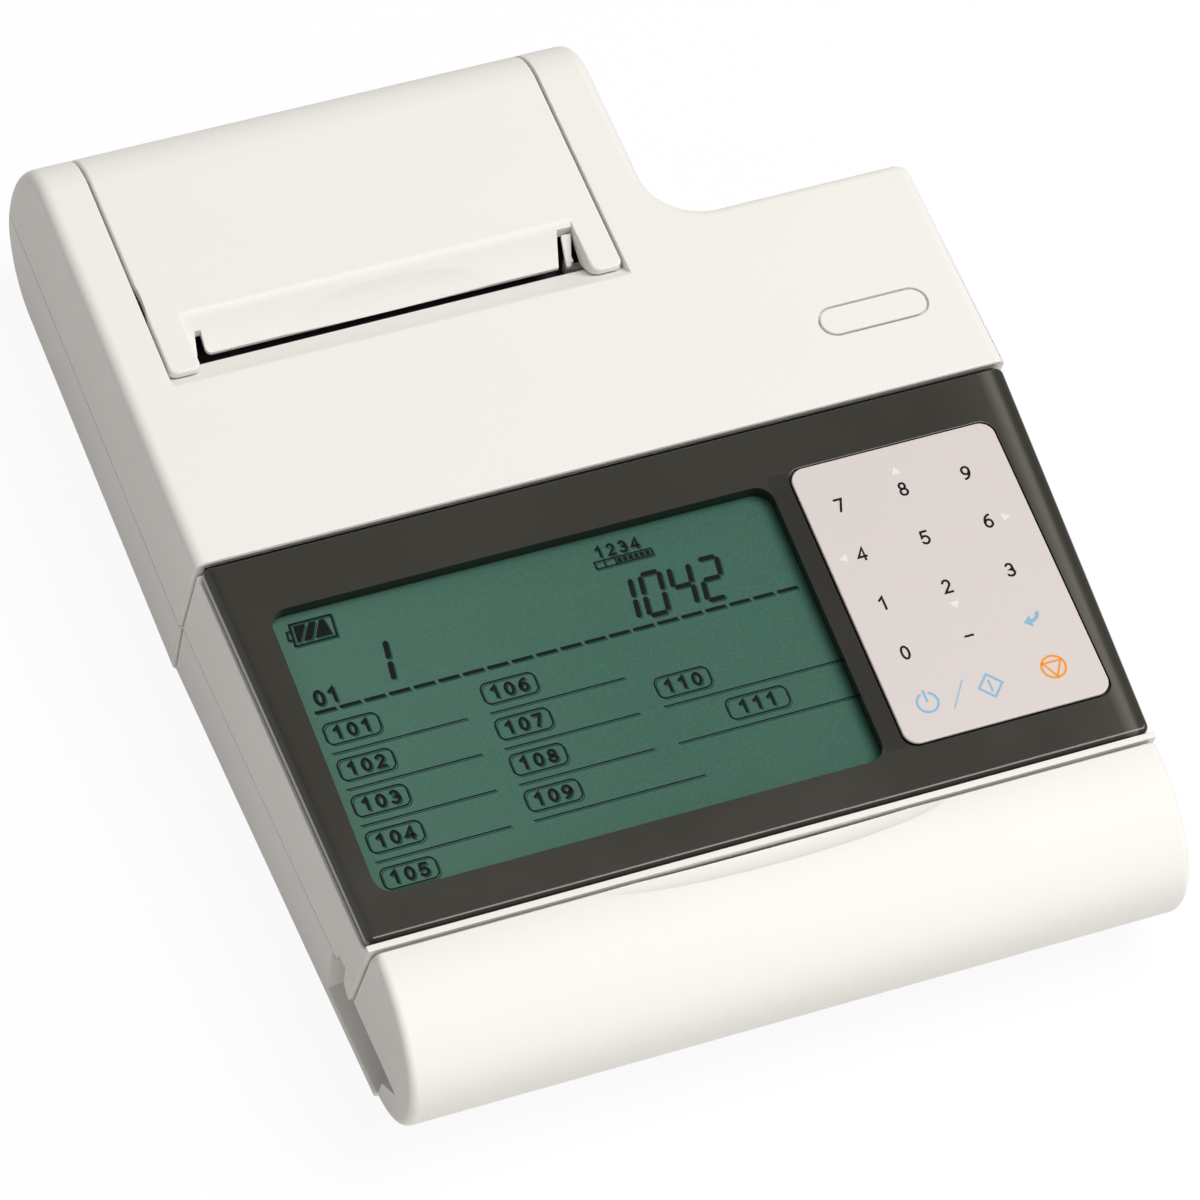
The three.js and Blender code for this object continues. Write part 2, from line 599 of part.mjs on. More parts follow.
function pill(margin, z0, z1) {
  const halfLength = INLAY_LENGTH / 2 + margin;
  const halfWidth = INLAY_WIDTH / 2 + margin;
  return raise(roundedRectangle(INLAY_X - halfLength, INLAY_X + halfLength, INLAY_Y - halfWidth,
    INLAY_Y + halfWidth, halfWidth * INLAY_ROUND_SHARE), z0, z1);
}

const screwBore = ([x, y], z0, z1) => roundZ(x, y, SCREW_RADIUS + SEAT_GAP, z0, z1, SMALL_ROUND_STEPS);
const upperBoss = ([x, y]) =>
  roundZ(x, y, BOSS_RADIUS, REAR_CASE_SPLIT, BODY_TOP - WALL / 2, SMALL_ROUND_STEPS);
let rearUpper = rearShell.intersect(above(REAR_CASE_SPLIT));
rearUpper = carve(rearUpper, bayOpening);
rearUpper = unite(rearUpper, ledge, cheekWall(bayLeft - RIB, bayLeft), cheekWall(bayRight, bayRight + RIB));
rearUpper = unite(rearUpper, ...screwPlaces.map(upperBoss).map((boss) => boss.intersect(rearOuter)));
rearUpper = unite(rearUpper, ...ioPosts.map(([x, y]) => roundZ(x, y, BOSS_RADIUS / 2, ioBoardTop + SEAT_GAP,
  BODY_TOP - WALL / 2, SMALL_ROUND_STEPS)));
rearUpper = carve(rearUpper, ...inletHoles,
  ...screwPlaces.map((spot) => screwBore(spot, -OVERRUN, REAR_BOTTOM + SCREW_LENGTH + 2 * SCREW_HEAD)));
rearUpper = unite(rearUpper, knuckles(true, -1)).subtract(hingeBore);
rearUpper = carve(rearUpper, pill(SEAT_GAP, BODY_TOP - INLAY_DEPTH, BODY_TOP + OVERRUN));
place('rear_upper_case', rearUpper, WHITE_CASE());
place('oval_inlay', pill(0, BODY_TOP - INLAY_DEPTH + SEAT_GAP, BODY_TOP), WHITE_CASE());

// Rear lower case with the battery compartment
const rearFloorTop = REAR_BOTTOM + WALL;
const batteryRows = [0, 1].map((row) => BATTERY_FIRST_Y + row * (2 * BATTERY_RADIUS + 2 * SEAT_GAP));
const batteryZ = rearFloorTop + SEAT_GAP + BATTERY_RADIUS;
const batteryEnd = BATTERY_LENGTH + BATTERY_NUB + SEAT_GAP / 2;
const contactInner = batteryEnd + SEAT_GAP;
const compartmentEnd = contactInner + CONTACT_THICK + SEAT_GAP;
const compartmentFront = batteryRows[0] - BATTERY_RADIUS - SEAT_GAP;
const compartmentBack = batteryRows[1] + BATTERY_RADIUS + SEAT_GAP;
const ribTop = rearFloorTop + BATTERY_RIB_HEIGHT;
const compartment = block(-compartmentEnd - RIB, compartmentEnd + RIB, compartmentFront - RIB,
  compartmentBack + RIB, rearFloorTop - WALL / 2, ribTop)
  .subtract(block(-compartmentEnd, compartmentEnd, compartmentFront, compartmentBack, -OVERRUN,
    ribTop + OVERRUN));
const doorHole = (margin) => raise(roundedRectangle(-BATTERY_DOOR_LENGTH / 2 - margin,
  BATTERY_DOOR_LENGTH / 2 + margin, compartmentFront + BATTERY_DOOR_MARGIN - margin,
  compartmentBack - BATTERY_DOOR_MARGIN + margin, EDGE_RADIUS), REAR_BOTTOM - margin, rearFloorTop + margin);
const footRecess = ([x, y], bottom) => roundZ(x, y, FOOT_RADIUS + SEAT_GAP, -OVERRUN, bottom + FOOT_RECESS);
const rearFeet = [[-REAR_HALF_WIDTH + FOOT_X_INSET, REAR_FOOT_Y], [TOWER_RIGHT - FOOT_X_INSET, REAR_FOOT_Y]];
const screwHeadHole = ([x, y]) => roundZ(x, y, SCREW_HEAD_RADIUS + SEAT_GAP, -OVERRUN, REAR_BOTTOM + SCREW_HEAD
  + SEAT_GAP, SMALL_ROUND_STEPS);
const lowerBoss = ([x, y]) => roundZ(x, y, BOSS_RADIUS, REAR_BOTTOM + WALL / 2, REAR_CASE_SPLIT - SEAT_GAP,
  SMALL_ROUND_STEPS);
let rearLower = rearShell.intersect(below(REAR_CASE_SPLIT - SEAT_GAP));
rearLower = unite(rearLower, compartment, ...screwPlaces.map(lowerBoss));
rearLower = carve(rearLower, doorHole(SEAM_GAP), ...rearFeet.map((spot) => footRecess(spot, REAR_BOTTOM)),
  ...screwPlaces.map((spot) => screwBore(spot, -OVERRUN, REAR_CASE_SPLIT)), ...screwPlaces.map(screwHeadHole));
place('rear_lower_case', rearLower, WHITE_CASE());
place('battery_door', doorHole(0), WHITE_CASE());

screwPlaces.forEach((spot, index) => {
  const head = roundZ(...spot, SCREW_HEAD_RADIUS, REAR_BOTTOM + SEAT_GAP / 2, REAR_BOTTOM + SCREW_HEAD,
    SMALL_ROUND_STEPS);
  const shank = roundZ(...spot, SCREW_RADIUS, REAR_BOTTOM + SCREW_HEAD / 2,
    REAR_BOTTOM + SCREW_HEAD + SCREW_LENGTH, SMALL_ROUND_STEPS);
  place(`case_screw_${index + 1}`, head.add(shank), STEEL());
});

batteryRows.forEach((y, row) => {
  [-1, 1].forEach((side, column) => {
    const nubToRight = row === 0;
    const inner = side < 0 ? -batteryEnd : SEAT_GAP / 2;
    const start = nubToRight ? inner : inner + BATTERY_NUB;
    const can = roundX(y, batteryZ, BATTERY_RADIUS, start, start + BATTERY_LENGTH);
    const nubStart = nubToRight ? start + BATTERY_LENGTH - BATTERY_NUB : start - BATTERY_NUB;
    const nub = roundX(y, batteryZ, BATTERY_NUB_RADIUS, nubStart, nubStart + 2 * BATTERY_NUB,
      SMALL_ROUND_STEPS);
    place(`battery_${2 * row + column + 1}`, can.add(nub), BATTERY_WRAP());
  });
});
[-1, 1].forEach((side) => {
  const near = side * contactInner;
  const far = side * (contactInner + CONTACT_THICK);
  const plate = block(Math.min(near, far), Math.max(near, far), compartmentFront + SEAT_GAP,
    compartmentBack - SEAT_GAP, rearFloorTop + SEAT_GAP, rearFloorTop + CONTACT_HEIGHT);
  place(side < 0 ? 'battery_contact_left' : 'battery_contact_right', plate, BRIGHT_STEEL());
});

// Socket board and the two sockets in the rear wall
const ioBoard = block(IO_BOARD_LEFT, IO_BOARD_RIGHT, IO_BOARD_FRONT, ioBoardBack, IO_BOARD_HEIGHT, ioBoardTop);
place('socket_board', ioBoard, BOARD_GREEN());
const socketFront = RIGHT_PART_BACK - SEAT_GAP;
const jackFront = socketFront - JACK_LENGTH;
const jackBody = block(JACK_X - jackHalfWidth, JACK_X + jackHalfWidth, jackFront, socketFront,
  inletZ - jackHalfHeight, inletZ + jackHalfHeight);
const jackBore = roundY(JACK_X, inletZ, JACK_BORE_RADIUS, jackFront + JACK_BORE_WALL, socketFront + OVERRUN,
  SMALL_ROUND_STEPS);
const jackPin = roundY(JACK_X, inletZ, JACK_PIN_RADIUS, jackFront + JACK_BORE_WALL - JACK_PIN_ROOT,
  socketFront - JACK_PIN_RADIUS, SMALL_ROUND_STEPS);
place('power_inlet', jackBody.subtract(jackBore).add(jackPin), BLACK_PLASTIC());
const portBody = roundY(PORT_X, portZ, PORT_RADIUS, socketFront - PORT_LENGTH, socketFront);
const portBore = roundY(PORT_X, portZ, PORT_RADIUS - PORT_WALL, socketFront - PORT_LENGTH / 2,
  socketFront + OVERRUN);
place('data_port', portBody.subtract(portBore), BLACK_PLASTIC());

// Toothed wheels on module GEAR_MODULE, drawn about their own axis
function toothedWheel(teeth, bore) {
  const pitchRadius = GEAR_MODULE * teeth / 2;
  const root = pitchRadius - GEAR_ROOT_SHARE * GEAR_MODULE;
  const tip = pitchRadius + GEAR_TIP_SHARE * GEAR_MODULE;
  const pitch = 2 * Math.PI / teeth;
  const rootHalf = pitch * TOOTH_ROOT_SHARE;
  const tipHalf = pitch * TOOTH_TIP_SHARE;
  const points = [];
  for (let tooth = 0; tooth < teeth; tooth += 1) {
    const middle = tooth * pitch;
    [[root, -rootHalf], [tip, -tipHalf], [tip, tipHalf], [root, rootHalf]].forEach(([radius, offset]) =>
      points.push([radius * Math.cos(middle + offset), radius * Math.sin(middle + offset)]));
  }
  const shape = outline(points);
  if (bore) {
    const hole = new THREE.Path();
    hole.absarc(0, 0, bore, 0, 2 * Math.PI, true);
    shape.holes.push(hole);
  }
  return shape;
}

// Printer: frame, paper roll on its shaft, platen with its gear train, and print head
const bayMid = (COVER_SEAM_LEFT + COVER_SEAM_RIGHT) / 2;
const plateInner = [bayMid - FRAME_HALF, bayMid + FRAME_HALF];
const platenY = SLOT_FRONT + SLOT_WIDTH / 2 + PLATEN_RADIUS;
const platenPitch = GEAR_MODULE * PLATEN_TEETH / 2;
const motorPitch = GEAR_MODULE * PRINTER_MOTOR_TEETH / 2;
const printerMotorZ = PLATEN_AXIS_Z - platenPitch - motorPitch;
const headBack = SLOT_FRONT + SLOT_WIDTH / 2 - SEAT_GAP;
const headFront = headBack - HEAD_THICK;
const frameLow = rearFloorTop + SEAT_GAP;
const frameFront = compartmentBack + RIB + SEAT_GAP;
const plateOutline = [
  [frameFront, frameLow],
  [FRAME_BACK, frameLow],
  [FRAME_BACK, ROLL_AXIS_Z + ROLL_SHAFT_RADIUS],
  [platenY + PLATEN_RADIUS, FRAME_TOP],
  [headFront - SEAT_GAP, FRAME_TOP],
  [headFront - SEAT_GAP, FRAME_BATTERY_CLEAR],
  [frameFront, FRAME_BATTERY_CLEAR],
];
const framePlate = (x0) => across(plateOutline, x0, x0 + FRAME_PLATE);
const shaftNotch = unite(
  roundX(ROLL_AXIS_Y, ROLL_AXIS_Z, ROLL_SHAFT_RADIUS + SEAT_GAP, bayLeft, bayRight),
  block(bayLeft, bayRight, ROLL_AXIS_Y - ROLL_SHAFT_RADIUS - SEAT_GAP,
    ROLL_AXIS_Y + ROLL_SHAFT_RADIUS + SEAT_GAP, ROLL_AXIS_Z, BODY_TOP),
);
const guideMid = (FLAP_NOTCH_LEFT + COVER_SEAM_RIGHT - PRONG_WIDTH) / 2;
const guideFront = headBack + 2 * SEAM_GAP;
const guideLow = PLATEN_AXIS_Z + PLATEN_RADIUS;
const guideTab = unite(
  block(guideMid - GUIDE_TAB_WIDTH / 2, guideMid + GUIDE_TAB_WIDTH / 2, guideFront,
    guideFront + GUIDE_TAB_THICK, guideLow, BODY_TOP - GUIDE_TAB_DROP),
  block(guideMid, plateInner[1] + FRAME_PLATE, guideFront, guideFront + GUIDE_TAB_THICK, guideLow,
    guideLow + GUIDE_TAB_ARM),
  block(plateInner[1], plateInner[1] + FRAME_PLATE, guideFront, guideFront + GUIDE_TAB_THICK,
    FRAME_TOP - GUIDE_TAB_ARM, guideLow + GUIDE_TAB_ARM),
);
let printerFrame = unite(framePlate(plateInner[0] - FRAME_PLATE), framePlate(plateInner[1]), guideTab,
  block(plateInner[0] - FRAME_PLATE / 2, plateInner[1] + FRAME_PLATE / 2, frameFront, FRAME_BACK, frameLow,
    frameLow + FRAME_PLATE));
const motorShaftHole = roundX(platenY, printerMotorZ, SHAFT_RADIUS + SEAT_GAP, plateInner[1] - OVERRUN,
  bayRight, SMALL_ROUND_STEPS);
printerFrame = carve(printerFrame, shaftNotch, motorShaftHole,
  roundX(platenY, PLATEN_AXIS_Z, PLATEN_SHAFT_RADIUS + SEAT_GAP, bayLeft, bayRight, SMALL_ROUND_STEPS));
place('printer_frame', printerFrame, GREY_PLASTIC());

const rollX = [bayMid - ROLL_WIDTH / 2, bayMid + ROLL_WIDTH / 2];
const rollBore = roundX(ROLL_AXIS_Y, ROLL_AXIS_Z, ROLL_CORE_RADIUS, rollX[0] - OVERRUN, rollX[1] + OVERRUN);
place('paper_roll', roundX(ROLL_AXIS_Y, ROLL_AXIS_Z, ROLL_RADIUS, ...rollX, 2 * ROUND_STEPS).subtract(rollBore),
  PAPER());
const shaftReach = FRAME_PLATE + SEAT_GAP;
place('roll_shaft', unite(
  roundX(ROLL_AXIS_Y, ROLL_AXIS_Z, ROLL_CORE_RADIUS - SEAT_GAP, rollX[0] - ROLL_PAD, rollX[1] + ROLL_PAD),
  roundX(ROLL_AXIS_Y, ROLL_AXIS_Z, ROLL_SHAFT_RADIUS, plateInner[0] - shaftReach, plateInner[1] + shaftReach,
    SMALL_ROUND_STEPS)), GREY_PLASTIC());

const gearX = plateInner[1] + FRAME_PLATE + SEAT_GAP;
place('platen_roller', unite(
  roundX(platenY, PLATEN_AXIS_Z, PLATEN_RADIUS, plateInner[0] + 2 * SEAT_GAP, plateInner[1] - 2 * SEAT_GAP),
  roundX(platenY, PLATEN_AXIS_Z, PLATEN_SHAFT_RADIUS, plateInner[0] - shaftReach, gearX + PRINTER_GEAR_THICK,
    SMALL_ROUND_STEPS)), RUBBER());
function wheelOnX(shape, thick, y, z, x0, turn) {
  const geometry = extrude(shape, thick);
  geometry.rotateZ(turn);
  geometry.applyMatrix4(new THREE.Matrix4().set(0, 0, 1, 0, 1, 0, 0, 0, 0, 1, 0, 0, 0, 0, 0, 1));
  geometry.translate(x0, y, z);
  return solidOf(geometry);
}
const platenWheel = toothedWheel(PLATEN_TEETH, PLATEN_SHAFT_RADIUS + SEAT_GAP / 2);
place('platen_gear', wheelOnX(platenWheel, PRINTER_GEAR_THICK, platenY, PLATEN_AXIS_Z, gearX, -Math.PI / 2),
  GREY_PLASTIC());
const motorWheel = wheelOnX(toothedWheel(PRINTER_MOTOR_TEETH), PRINTER_GEAR_THICK, platenY, printerMotorZ,
  gearX, Math.PI / 2 + Math.PI / PRINTER_MOTOR_TEETH);
const motorShaft = roundX(platenY, printerMotorZ, SHAFT_RADIUS, plateInner[1] - OVERRUN, gearX + SHAFT_RADIUS,
  SMALL_ROUND_STEPS);
place('printer_motor_gear', motorWheel.add(motorShaft), BRIGHT_STEEL());
const motorFace = plateInner[1] - SEAT_GAP;
const motorCan = roundX(platenY, printerMotorZ, PRINTER_MOTOR_RADIUS, motorFace - PRINTER_MOTOR_LENGTH,
  motorFace);
const motorBore = roundX(platenY, printerMotorZ, SHAFT_RADIUS + SEAT_GAP, plateInner[1] - OVERRUN - SEAT_GAP,
  plateInner[1], SMALL_ROUND_STEPS);
place('printer_motor', motorCan.subtract(motorBore), STEEL());
const headTop = SLOT_HEIGHT - WALL - SEAT_GAP;
place('print_head', block(plateInner[0] + SEAT_GAP, plateInner[1] - SEAT_GAP, headFront, headBack,
  headTop - HEAD_HEIGHT, headTop), GREY_PLASTIC());

// Printer cover: roof, sloped flap down to the slot, two prongs and the hinge knuckles
const coverLeft = COVER_SEAM_LEFT;
const coverRight = COVER_SEAM_RIGHT;
const coverTail = HINGE_HEIGHT + KNUCKLE_RADIUS + SEAT_GAP;
const coverRoof = (inset) => arc(upperCentre[0], upperCentre[1], REAR_TOP_RADIUS - inset, REAR_LEAN, 90);
const tailAt = (inset) => [towerBackAt(coverTail) - inset / leanCos, coverTail];
const flapFoot = [slotBack, SLOT_HEIGHT];
const roof = across([
  tailAt(0),
  ...coverRoof(0),
  [FLAP_TOP, BODY_TOP],
  flapFoot,
  [slotBack, SLOT_HEIGHT - WALL],
  [FLAP_TOP + WALL / 2, BODY_TOP - WALL],
  ...coverRoof(WALL).reverse(),
  tailAt(WALL),
], coverLeft, coverRight);
const ledgeSlope = (BODY_TOP - SLOT_HEIGHT) / (SLOT_FRONT - POCKET_FRONT);
const ledgeHeight = (y) => BODY_TOP - (y - POCKET_FRONT) * ledgeSlope;
const prongOutline = [
  [PRONG_END, BODY_TOP - PRONG_CORNER / 2],
  [PRONG_END, ledgeHeight(PRONG_END) + SEAM_GAP],
  [SLOT_FRONT, SLOT_HEIGHT + SEAM_GAP],
  [slotBack + WALL, SLOT_HEIGHT - WALL / 2],
  [FLAP_TOP + WALL, BODY_TOP - WALL],
  [FLAP_TOP + WALL, BODY_TOP],
  [PRONG_END + PRONG_CORNER / 2, BODY_TOP],
];
const prongPlan = (x0, x1) => raise(roundedRectangle(x0, x1, PRONG_END, FLAP_TOP + 2 * WALL, PRONG_CORNER), 0,
  BODY_TOP + OVERRUN);
const prong = (x0, x1) => across(prongOutline, x0, x1).intersect(prongPlan(x0, x1));
const leftProngInner = coverLeft + PRONG_WIDTH;
const rightProngInner = coverRight - PRONG_WIDTH;
const flapNotch = block(FLAP_NOTCH_LEFT, rightProngInner, SLOT_FRONT - SLOT_WIDTH, slotBack + 2 * WALL,
  SLOT_HEIGHT - OVERRUN, BODY_TOP + OVERRUN);
const prongSlit = block(leftProngInner, leftProngInner + PRONG_SLIT_WIDTH, SLOT_FRONT - SLOT_WIDTH,
  slotBack + PRONG_SLIT_DEPTH, SLOT_HEIGHT - OVERRUN, BODY_TOP + OVERRUN);
let printerCover = unite(roof, prong(coverLeft, leftProngInner), prong(rightProngInner, coverRight));
printerCover = carve(printerCover, flapNotch, prongSlit);
printerCover = unite(printerCover, knuckles(false, 1).subtract(hingeBore));
place('printer_cover', printerCover, WHITE_CASE());
place('cover_hinge_pin', roundX(hingeY, HINGE_HEIGHT, HINGE_PIN_RADIUS, bayLeft + 2 * SEAT_GAP,
  bayRight - 2 * SEAT_GAP, SMALL_ROUND_STEPS), STEEL());

// Front body: tapered in plan, open under the tilted panel
const taper = (FRONT_HALF_BACK - FRONT_HALF_FRONT) / PANEL_DEPTH;
const frontHalfAt = (y) => FRONT_HALF_BACK + (y - PANEL_BACK) * taper;
const lipBack = panelFront - SEAT_GAP;
const lipFront = lipBack - LIP_THICK;
function frontPlan(inset, back, front) {
  const halfBack = frontHalfAt(back) - inset;
  const halfFront = frontHalfAt(front) - inset;
  return [[-halfBack, back], [-halfFront, front], [halfFront, front], [halfBack, back]];
}
const deckTop = PANEL_THICK + SEAT_GAP;
const deckLow = deckTop + DECK_THICK;

// The cheek's slanted rear edge, shared by the drawer front and the front case
const cheekEdgeAt = (height) => CHEEK_TIP_BACK
  + (lipFront - SEAM_GAP - CHEEK_TIP_BACK) * (height - CHEEK_TIP_HEIGHT)
  / (COVER_LIP_HEIGHT - CHEEK_TIP_HEIGHT);
const seamBack = (height) => REAR_FRONT - SEAM_GAP + SEAM_MID_SETBACK * (BODY_TOP - height)
  / (BODY_TOP - REAR_CASE_SPLIT);
const footBack = REAR_FRONT - SEAM_GAP + SEAM_FOOT_SETBACK;
const frontUpperSide = [
  [seamBack(panelHeight(PANEL_BACK, deckTop)), panelHeight(PANEL_BACK, deckTop)],
  [lipBack, panelHeight(lipBack, deckTop)],
  [lipBack, panelHeight(lipBack)],
  [lipFront, panelHeight(lipFront)],
  [cheekEdgeAt(panelHeight(lipFront, deckTop)) + SEAM_GAP, panelHeight(lipFront, deckTop)],
  [CHEEK_TIP_BACK + SEAM_GAP, CHEEK_TIP_HEIGHT],
  [CHEEK_TIP_BACK + HOOK_DEPTH / 2, CHEEK_TIP_HEIGHT + HOOK_HEIGHT / 2],
  [CHEEK_TIP_BACK + HOOK_DEPTH / 2, FRONT_CASE_SPLIT + HOOK_HEIGHT / 2],
  [CHEEK_TIP_BACK + HOOK_DEPTH, FRONT_CASE_SPLIT + HOOK_HEIGHT / 2],
  [CHEEK_TIP_BACK + HOOK_DEPTH + SEAM_GAP, FRONT_CASE_SPLIT],
  [seamBack(FRONT_CASE_SPLIT), FRONT_CASE_SPLIT],
];
const upperSide = across(frontUpperSide, -REAR_HALF_WIDTH, REAR_HALF_WIDTH);
const frontTub = upperSide.intersect(raise(frontPlan(0, footBack, lipFront - OVERRUN), 0, BODY_TOP));
const frontCore = raise(frontPlan(WALL, footBack + OVERRUN, lipBack + SEAT_GAP / 2), -OVERRUN, BODY_TOP);
const underDeck = tilted(block(-REAR_HALF_WIDTH, REAR_HALF_WIDTH, -2 * PANEL_DEPTH, PANEL_DEPTH, -2 * BODY_TOP,
  -deckLow));
const cheekRoom = block(-COVER_HALF_WIDTH - SEAM_GAP, COVER_HALF_WIDTH + SEAM_GAP, lipFront - OVERRUN,
  lipBack + SEAT_GAP / 2, -OVERRUN, panelHeight(lipFront) - FRONT_WALL_DROP);
const lcdLeft = WINDOW_LEFT - LCD_MARGIN;
const lcdRight = WINDOW_RIGHT + LCD_MARGIN;
const lcdHole = (margin, z0, z1) => raise(roundedRectangle(lcdLeft - margin, lcdRight + margin,
  -WINDOW_FRONT - LCD_MARGIN - margin, -WINDOW_BACK + LCD_MARGIN + margin, LCD_MARGIN), z0, z1);
const keyHole = (margin) => tilted(block(KEYPAD_LEFT + margin, KEYPAD_RIGHT - margin, -KEYPAD_FRONT + margin,
  -KEYPAD_BACK - margin, -deckLow - OVERRUN, OVERRUN));
let frontUpper = carve(frontTub, frontCore.intersect(underDeck), cheekRoom);
frontUpper = carve(frontUpper, tilted(lcdHole(SEAT_GAP, -deckLow - OVERRUN, OVERRUN)), keyHole(LCD_MARGIN));
place('front_upper_case', frontUpper, WHITE_CASE());

// Front lower case: floor, short side walls and the grip recess under each cheek
const frontFloorTop = FRONT_BOTTOM + FLOOR;
const lowerSide = [
  [footBack, FRONT_BOTTOM],
  [seamBack(FRONT_CASE_SPLIT), FRONT_CASE_SPLIT - SEAT_GAP],
  [-SIDE_WINDOW_BACK, FRONT_CASE_SPLIT - SEAT_GAP],
  [-SIDE_WINDOW_BACK, frontFloorTop],
  [-FLOOR_LIP, frontFloorTop],
  [-FLOOR_LIP, FRONT_BOTTOM],
].reverse();
const lowerTub = across(lowerSide, -REAR_HALF_WIDTH, REAR_HALF_WIDTH)
  .intersect(raise(frontPlan(0, footBack, -FLOOR_LIP), 0, BODY_TOP));
const lowerCore = raise(frontPlan(WALL, footBack + OVERRUN, -FLOOR_LIP - OVERRUN), frontFloorTop, BODY_TOP);
const guardX = frontHalfAt(-FLOOR_LIP) - WALL - GRIP_DEPTH;
const guardTop = FRONT_CASE_SPLIT - SEAT_GAP;
const guards = [-1, 1].flatMap((side) => [
  sideBlock(side, guardX - RIB, guardX, -FLOOR_LIP + RIB, -SIDE_WINDOW_BACK + WALL, frontFloorTop - FLOOR / 2,
    guardTop),
  sideBlock(side, guardX - RIB, frontHalfAt(-SIDE_WINDOW_BACK) - WALL / 2, -SIDE_WINDOW_BACK,
    -SIDE_WINDOW_BACK + WALL, frontFloorTop - FLOOR / 2, guardTop),
]);
const pinionY = -PINION_DEPTH;
const rackPitchX = TRAY_HALF_WIDTH + SEAT_GAP + RACK_BACKING + GEAR_ROOT_SHARE * GEAR_MODULE;
const pinionX = rackPitchX + GEAR_MODULE * PINION_TEETH / 2;
const railTop = TRAY_BASE + RAIL_LIP;
const rackLow = railTop + SEAT_GAP;
const rackTop = rackLow + PINION_THICK;
const shelfLow = rackTop + RUN_GAP;
const shelfTop = shelfLow + SHELF_THICK;
const pinionTip = GEAR_MODULE * PINION_TEETH / 2 + GEAR_MODULE;
const shelfX0 = rackPitchX + 2 * GEAR_MODULE;
const shelfX1 = pinionX + pinionTip + RUN_GAP + RIB;
const shelf = unite(
  block(shelfX0, shelfX1, pinionY - MOTOR_RADIUS, pinionY + MOTOR_RADIUS, shelfLow, shelfTop),
  block(shelfX1 - RIB, shelfX1, pinionY - MOTOR_RADIUS, pinionY + MOTOR_RADIUS, frontFloorTop - FLOOR / 2,
    shelfTop),
).subtract(roundZ(pinionX, pinionY, SHAFT_RADIUS + SEAT_GAP, 0, BODY_TOP, SMALL_ROUND_STEPS));
const frontFeet = [-1, 1].map((side) => [side * (FRONT_HALF_FRONT - FOOT_X_INSET), FRONT_FOOT_Y]);
let frontLower = lowerTub.subtract(lowerCore);
frontLower = unite(frontLower, ...guards, shelf);
frontLower = carve(frontLower, ...frontFeet.map((spot) => footRecess(spot, FRONT_BOTTOM)));
place('front_lower_case', frontLower, WHITE_CASE());

[...rearFeet, ...frontFeet].forEach((spot, index) => {
  const seat = index < rearFeet.length ? REAR_BOTTOM : FRONT_BOTTOM;
  place(`foot_${index + 1}`, roundZ(...spot, FOOT_RADIUS, 0, seat + FOOT_RECESS - SEAT_GAP), RUBBER());
});

// Tilted stack: panel, key sheet, keys, display glass, light guide and the two boards
function panelOutline(inset) {
  const back = PANEL_HALF_BACK - inset;
  const front = PANEL_HALF_FRONT - inset;
  return [
    ...arc(back - PANEL_CORNER, -PANEL_CORNER, PANEL_CORNER, 0, 90, CORNER_STEPS),
    ...arc(PANEL_CORNER - back, -PANEL_CORNER, PANEL_CORNER, 90, 180, CORNER_STEPS),
    ...arc(PANEL_CORNER - front, PANEL_CORNER - PANEL_DEPTH, PANEL_CORNER, 180, 270, CORNER_STEPS),
    ...arc(front - PANEL_CORNER, PANEL_CORNER - PANEL_DEPTH, PANEL_CORNER, 270, 360, CORNER_STEPS),
  ];
}
const keypadShape = (margin, z0, z1) => raise(roundedRectangle(KEYPAD_LEFT - margin, KEYPAD_RIGHT + margin,
  -KEYPAD_FRONT - margin, -KEYPAD_BACK + margin, KEYPAD_CORNER), z0, z1);
const sheetLow = KEYPAD_PROUD - KEYPAD_SHEET;
const pocketLow = sheetLow - SEAT_GAP;
const keyTop = sheetLow - SEAT_GAP;
const boardTop = -deckLow - SEAT_GAP;
const keyLow = boardTop + KEY_TRAVEL + SEAT_GAP;
const keyRows = [
  ['key_7', 'key_8', 'key_9'],
  ['key_4', 'key_5', 'key_6'],
  ['key_1', 'key_2', 'key_3'],
  ['key_0', 'key_minus', 'key_enter'],
  ['key_start', null, 'key_stop'],
];
const keys = keyRows.flatMap((row, rowIndex) => row.flatMap((name, column) => (name ? [{
  name,
  x: KEY_FIRST_X + KEY_PITCH_X * (name === 'key_start' ? WIDE_KEY_COLUMN_SHARE : column),
  y: -KEY_FIRST_DEPTH - KEY_PITCH_Y * rowIndex,
  half: name === 'key_start' ? WIDE_KEY_HALF : 0,
}] : [])));
const keyBody = ({ x, y, half }, margin, z0, z1) => (half
  ? unite(roundZ(x - half, y, KEY_RADIUS + margin, z0, z1, SMALL_ROUND_STEPS),
    roundZ(x + half, y, KEY_RADIUS + margin, z0, z1, SMALL_ROUND_STEPS),
    block(x - half, x + half, y - KEY_RADIUS - margin, y + KEY_RADIUS + margin, z0, z1))
  : roundZ(x, y, KEY_RADIUS + margin, z0, z1, SMALL_ROUND_STEPS));
const windowOutline = roundedRectangle(WINDOW_LEFT, WINDOW_RIGHT, -WINDOW_FRONT, -WINDOW_BACK, WINDOW_CORNER);
const windowHole = raise(windowOutline, -PANEL_THICK - OVERRUN, OVERRUN);
let panel = raise(panelOutline(0), -PANEL_THICK, 0);
panel = carve(panel, windowHole, keypadShape(SEAT_GAP, pocketLow, OVERRUN),
  ...keys.map((key) => keyBody(key, SEAT_GAP, -PANEL_THICK - OVERRUN, 0)));
place('display_panel', panel, DARK_PANEL(), panelGroup);
place('key_sheet', keypadShape(0, sheetLow, KEYPAD_PROUD), KEY_SHEET(), panelGroup);
keys.forEach((key) => place(key.name, keyBody(key, 0, keyLow, keyTop), KEY_RUBBER(), panelGroup));
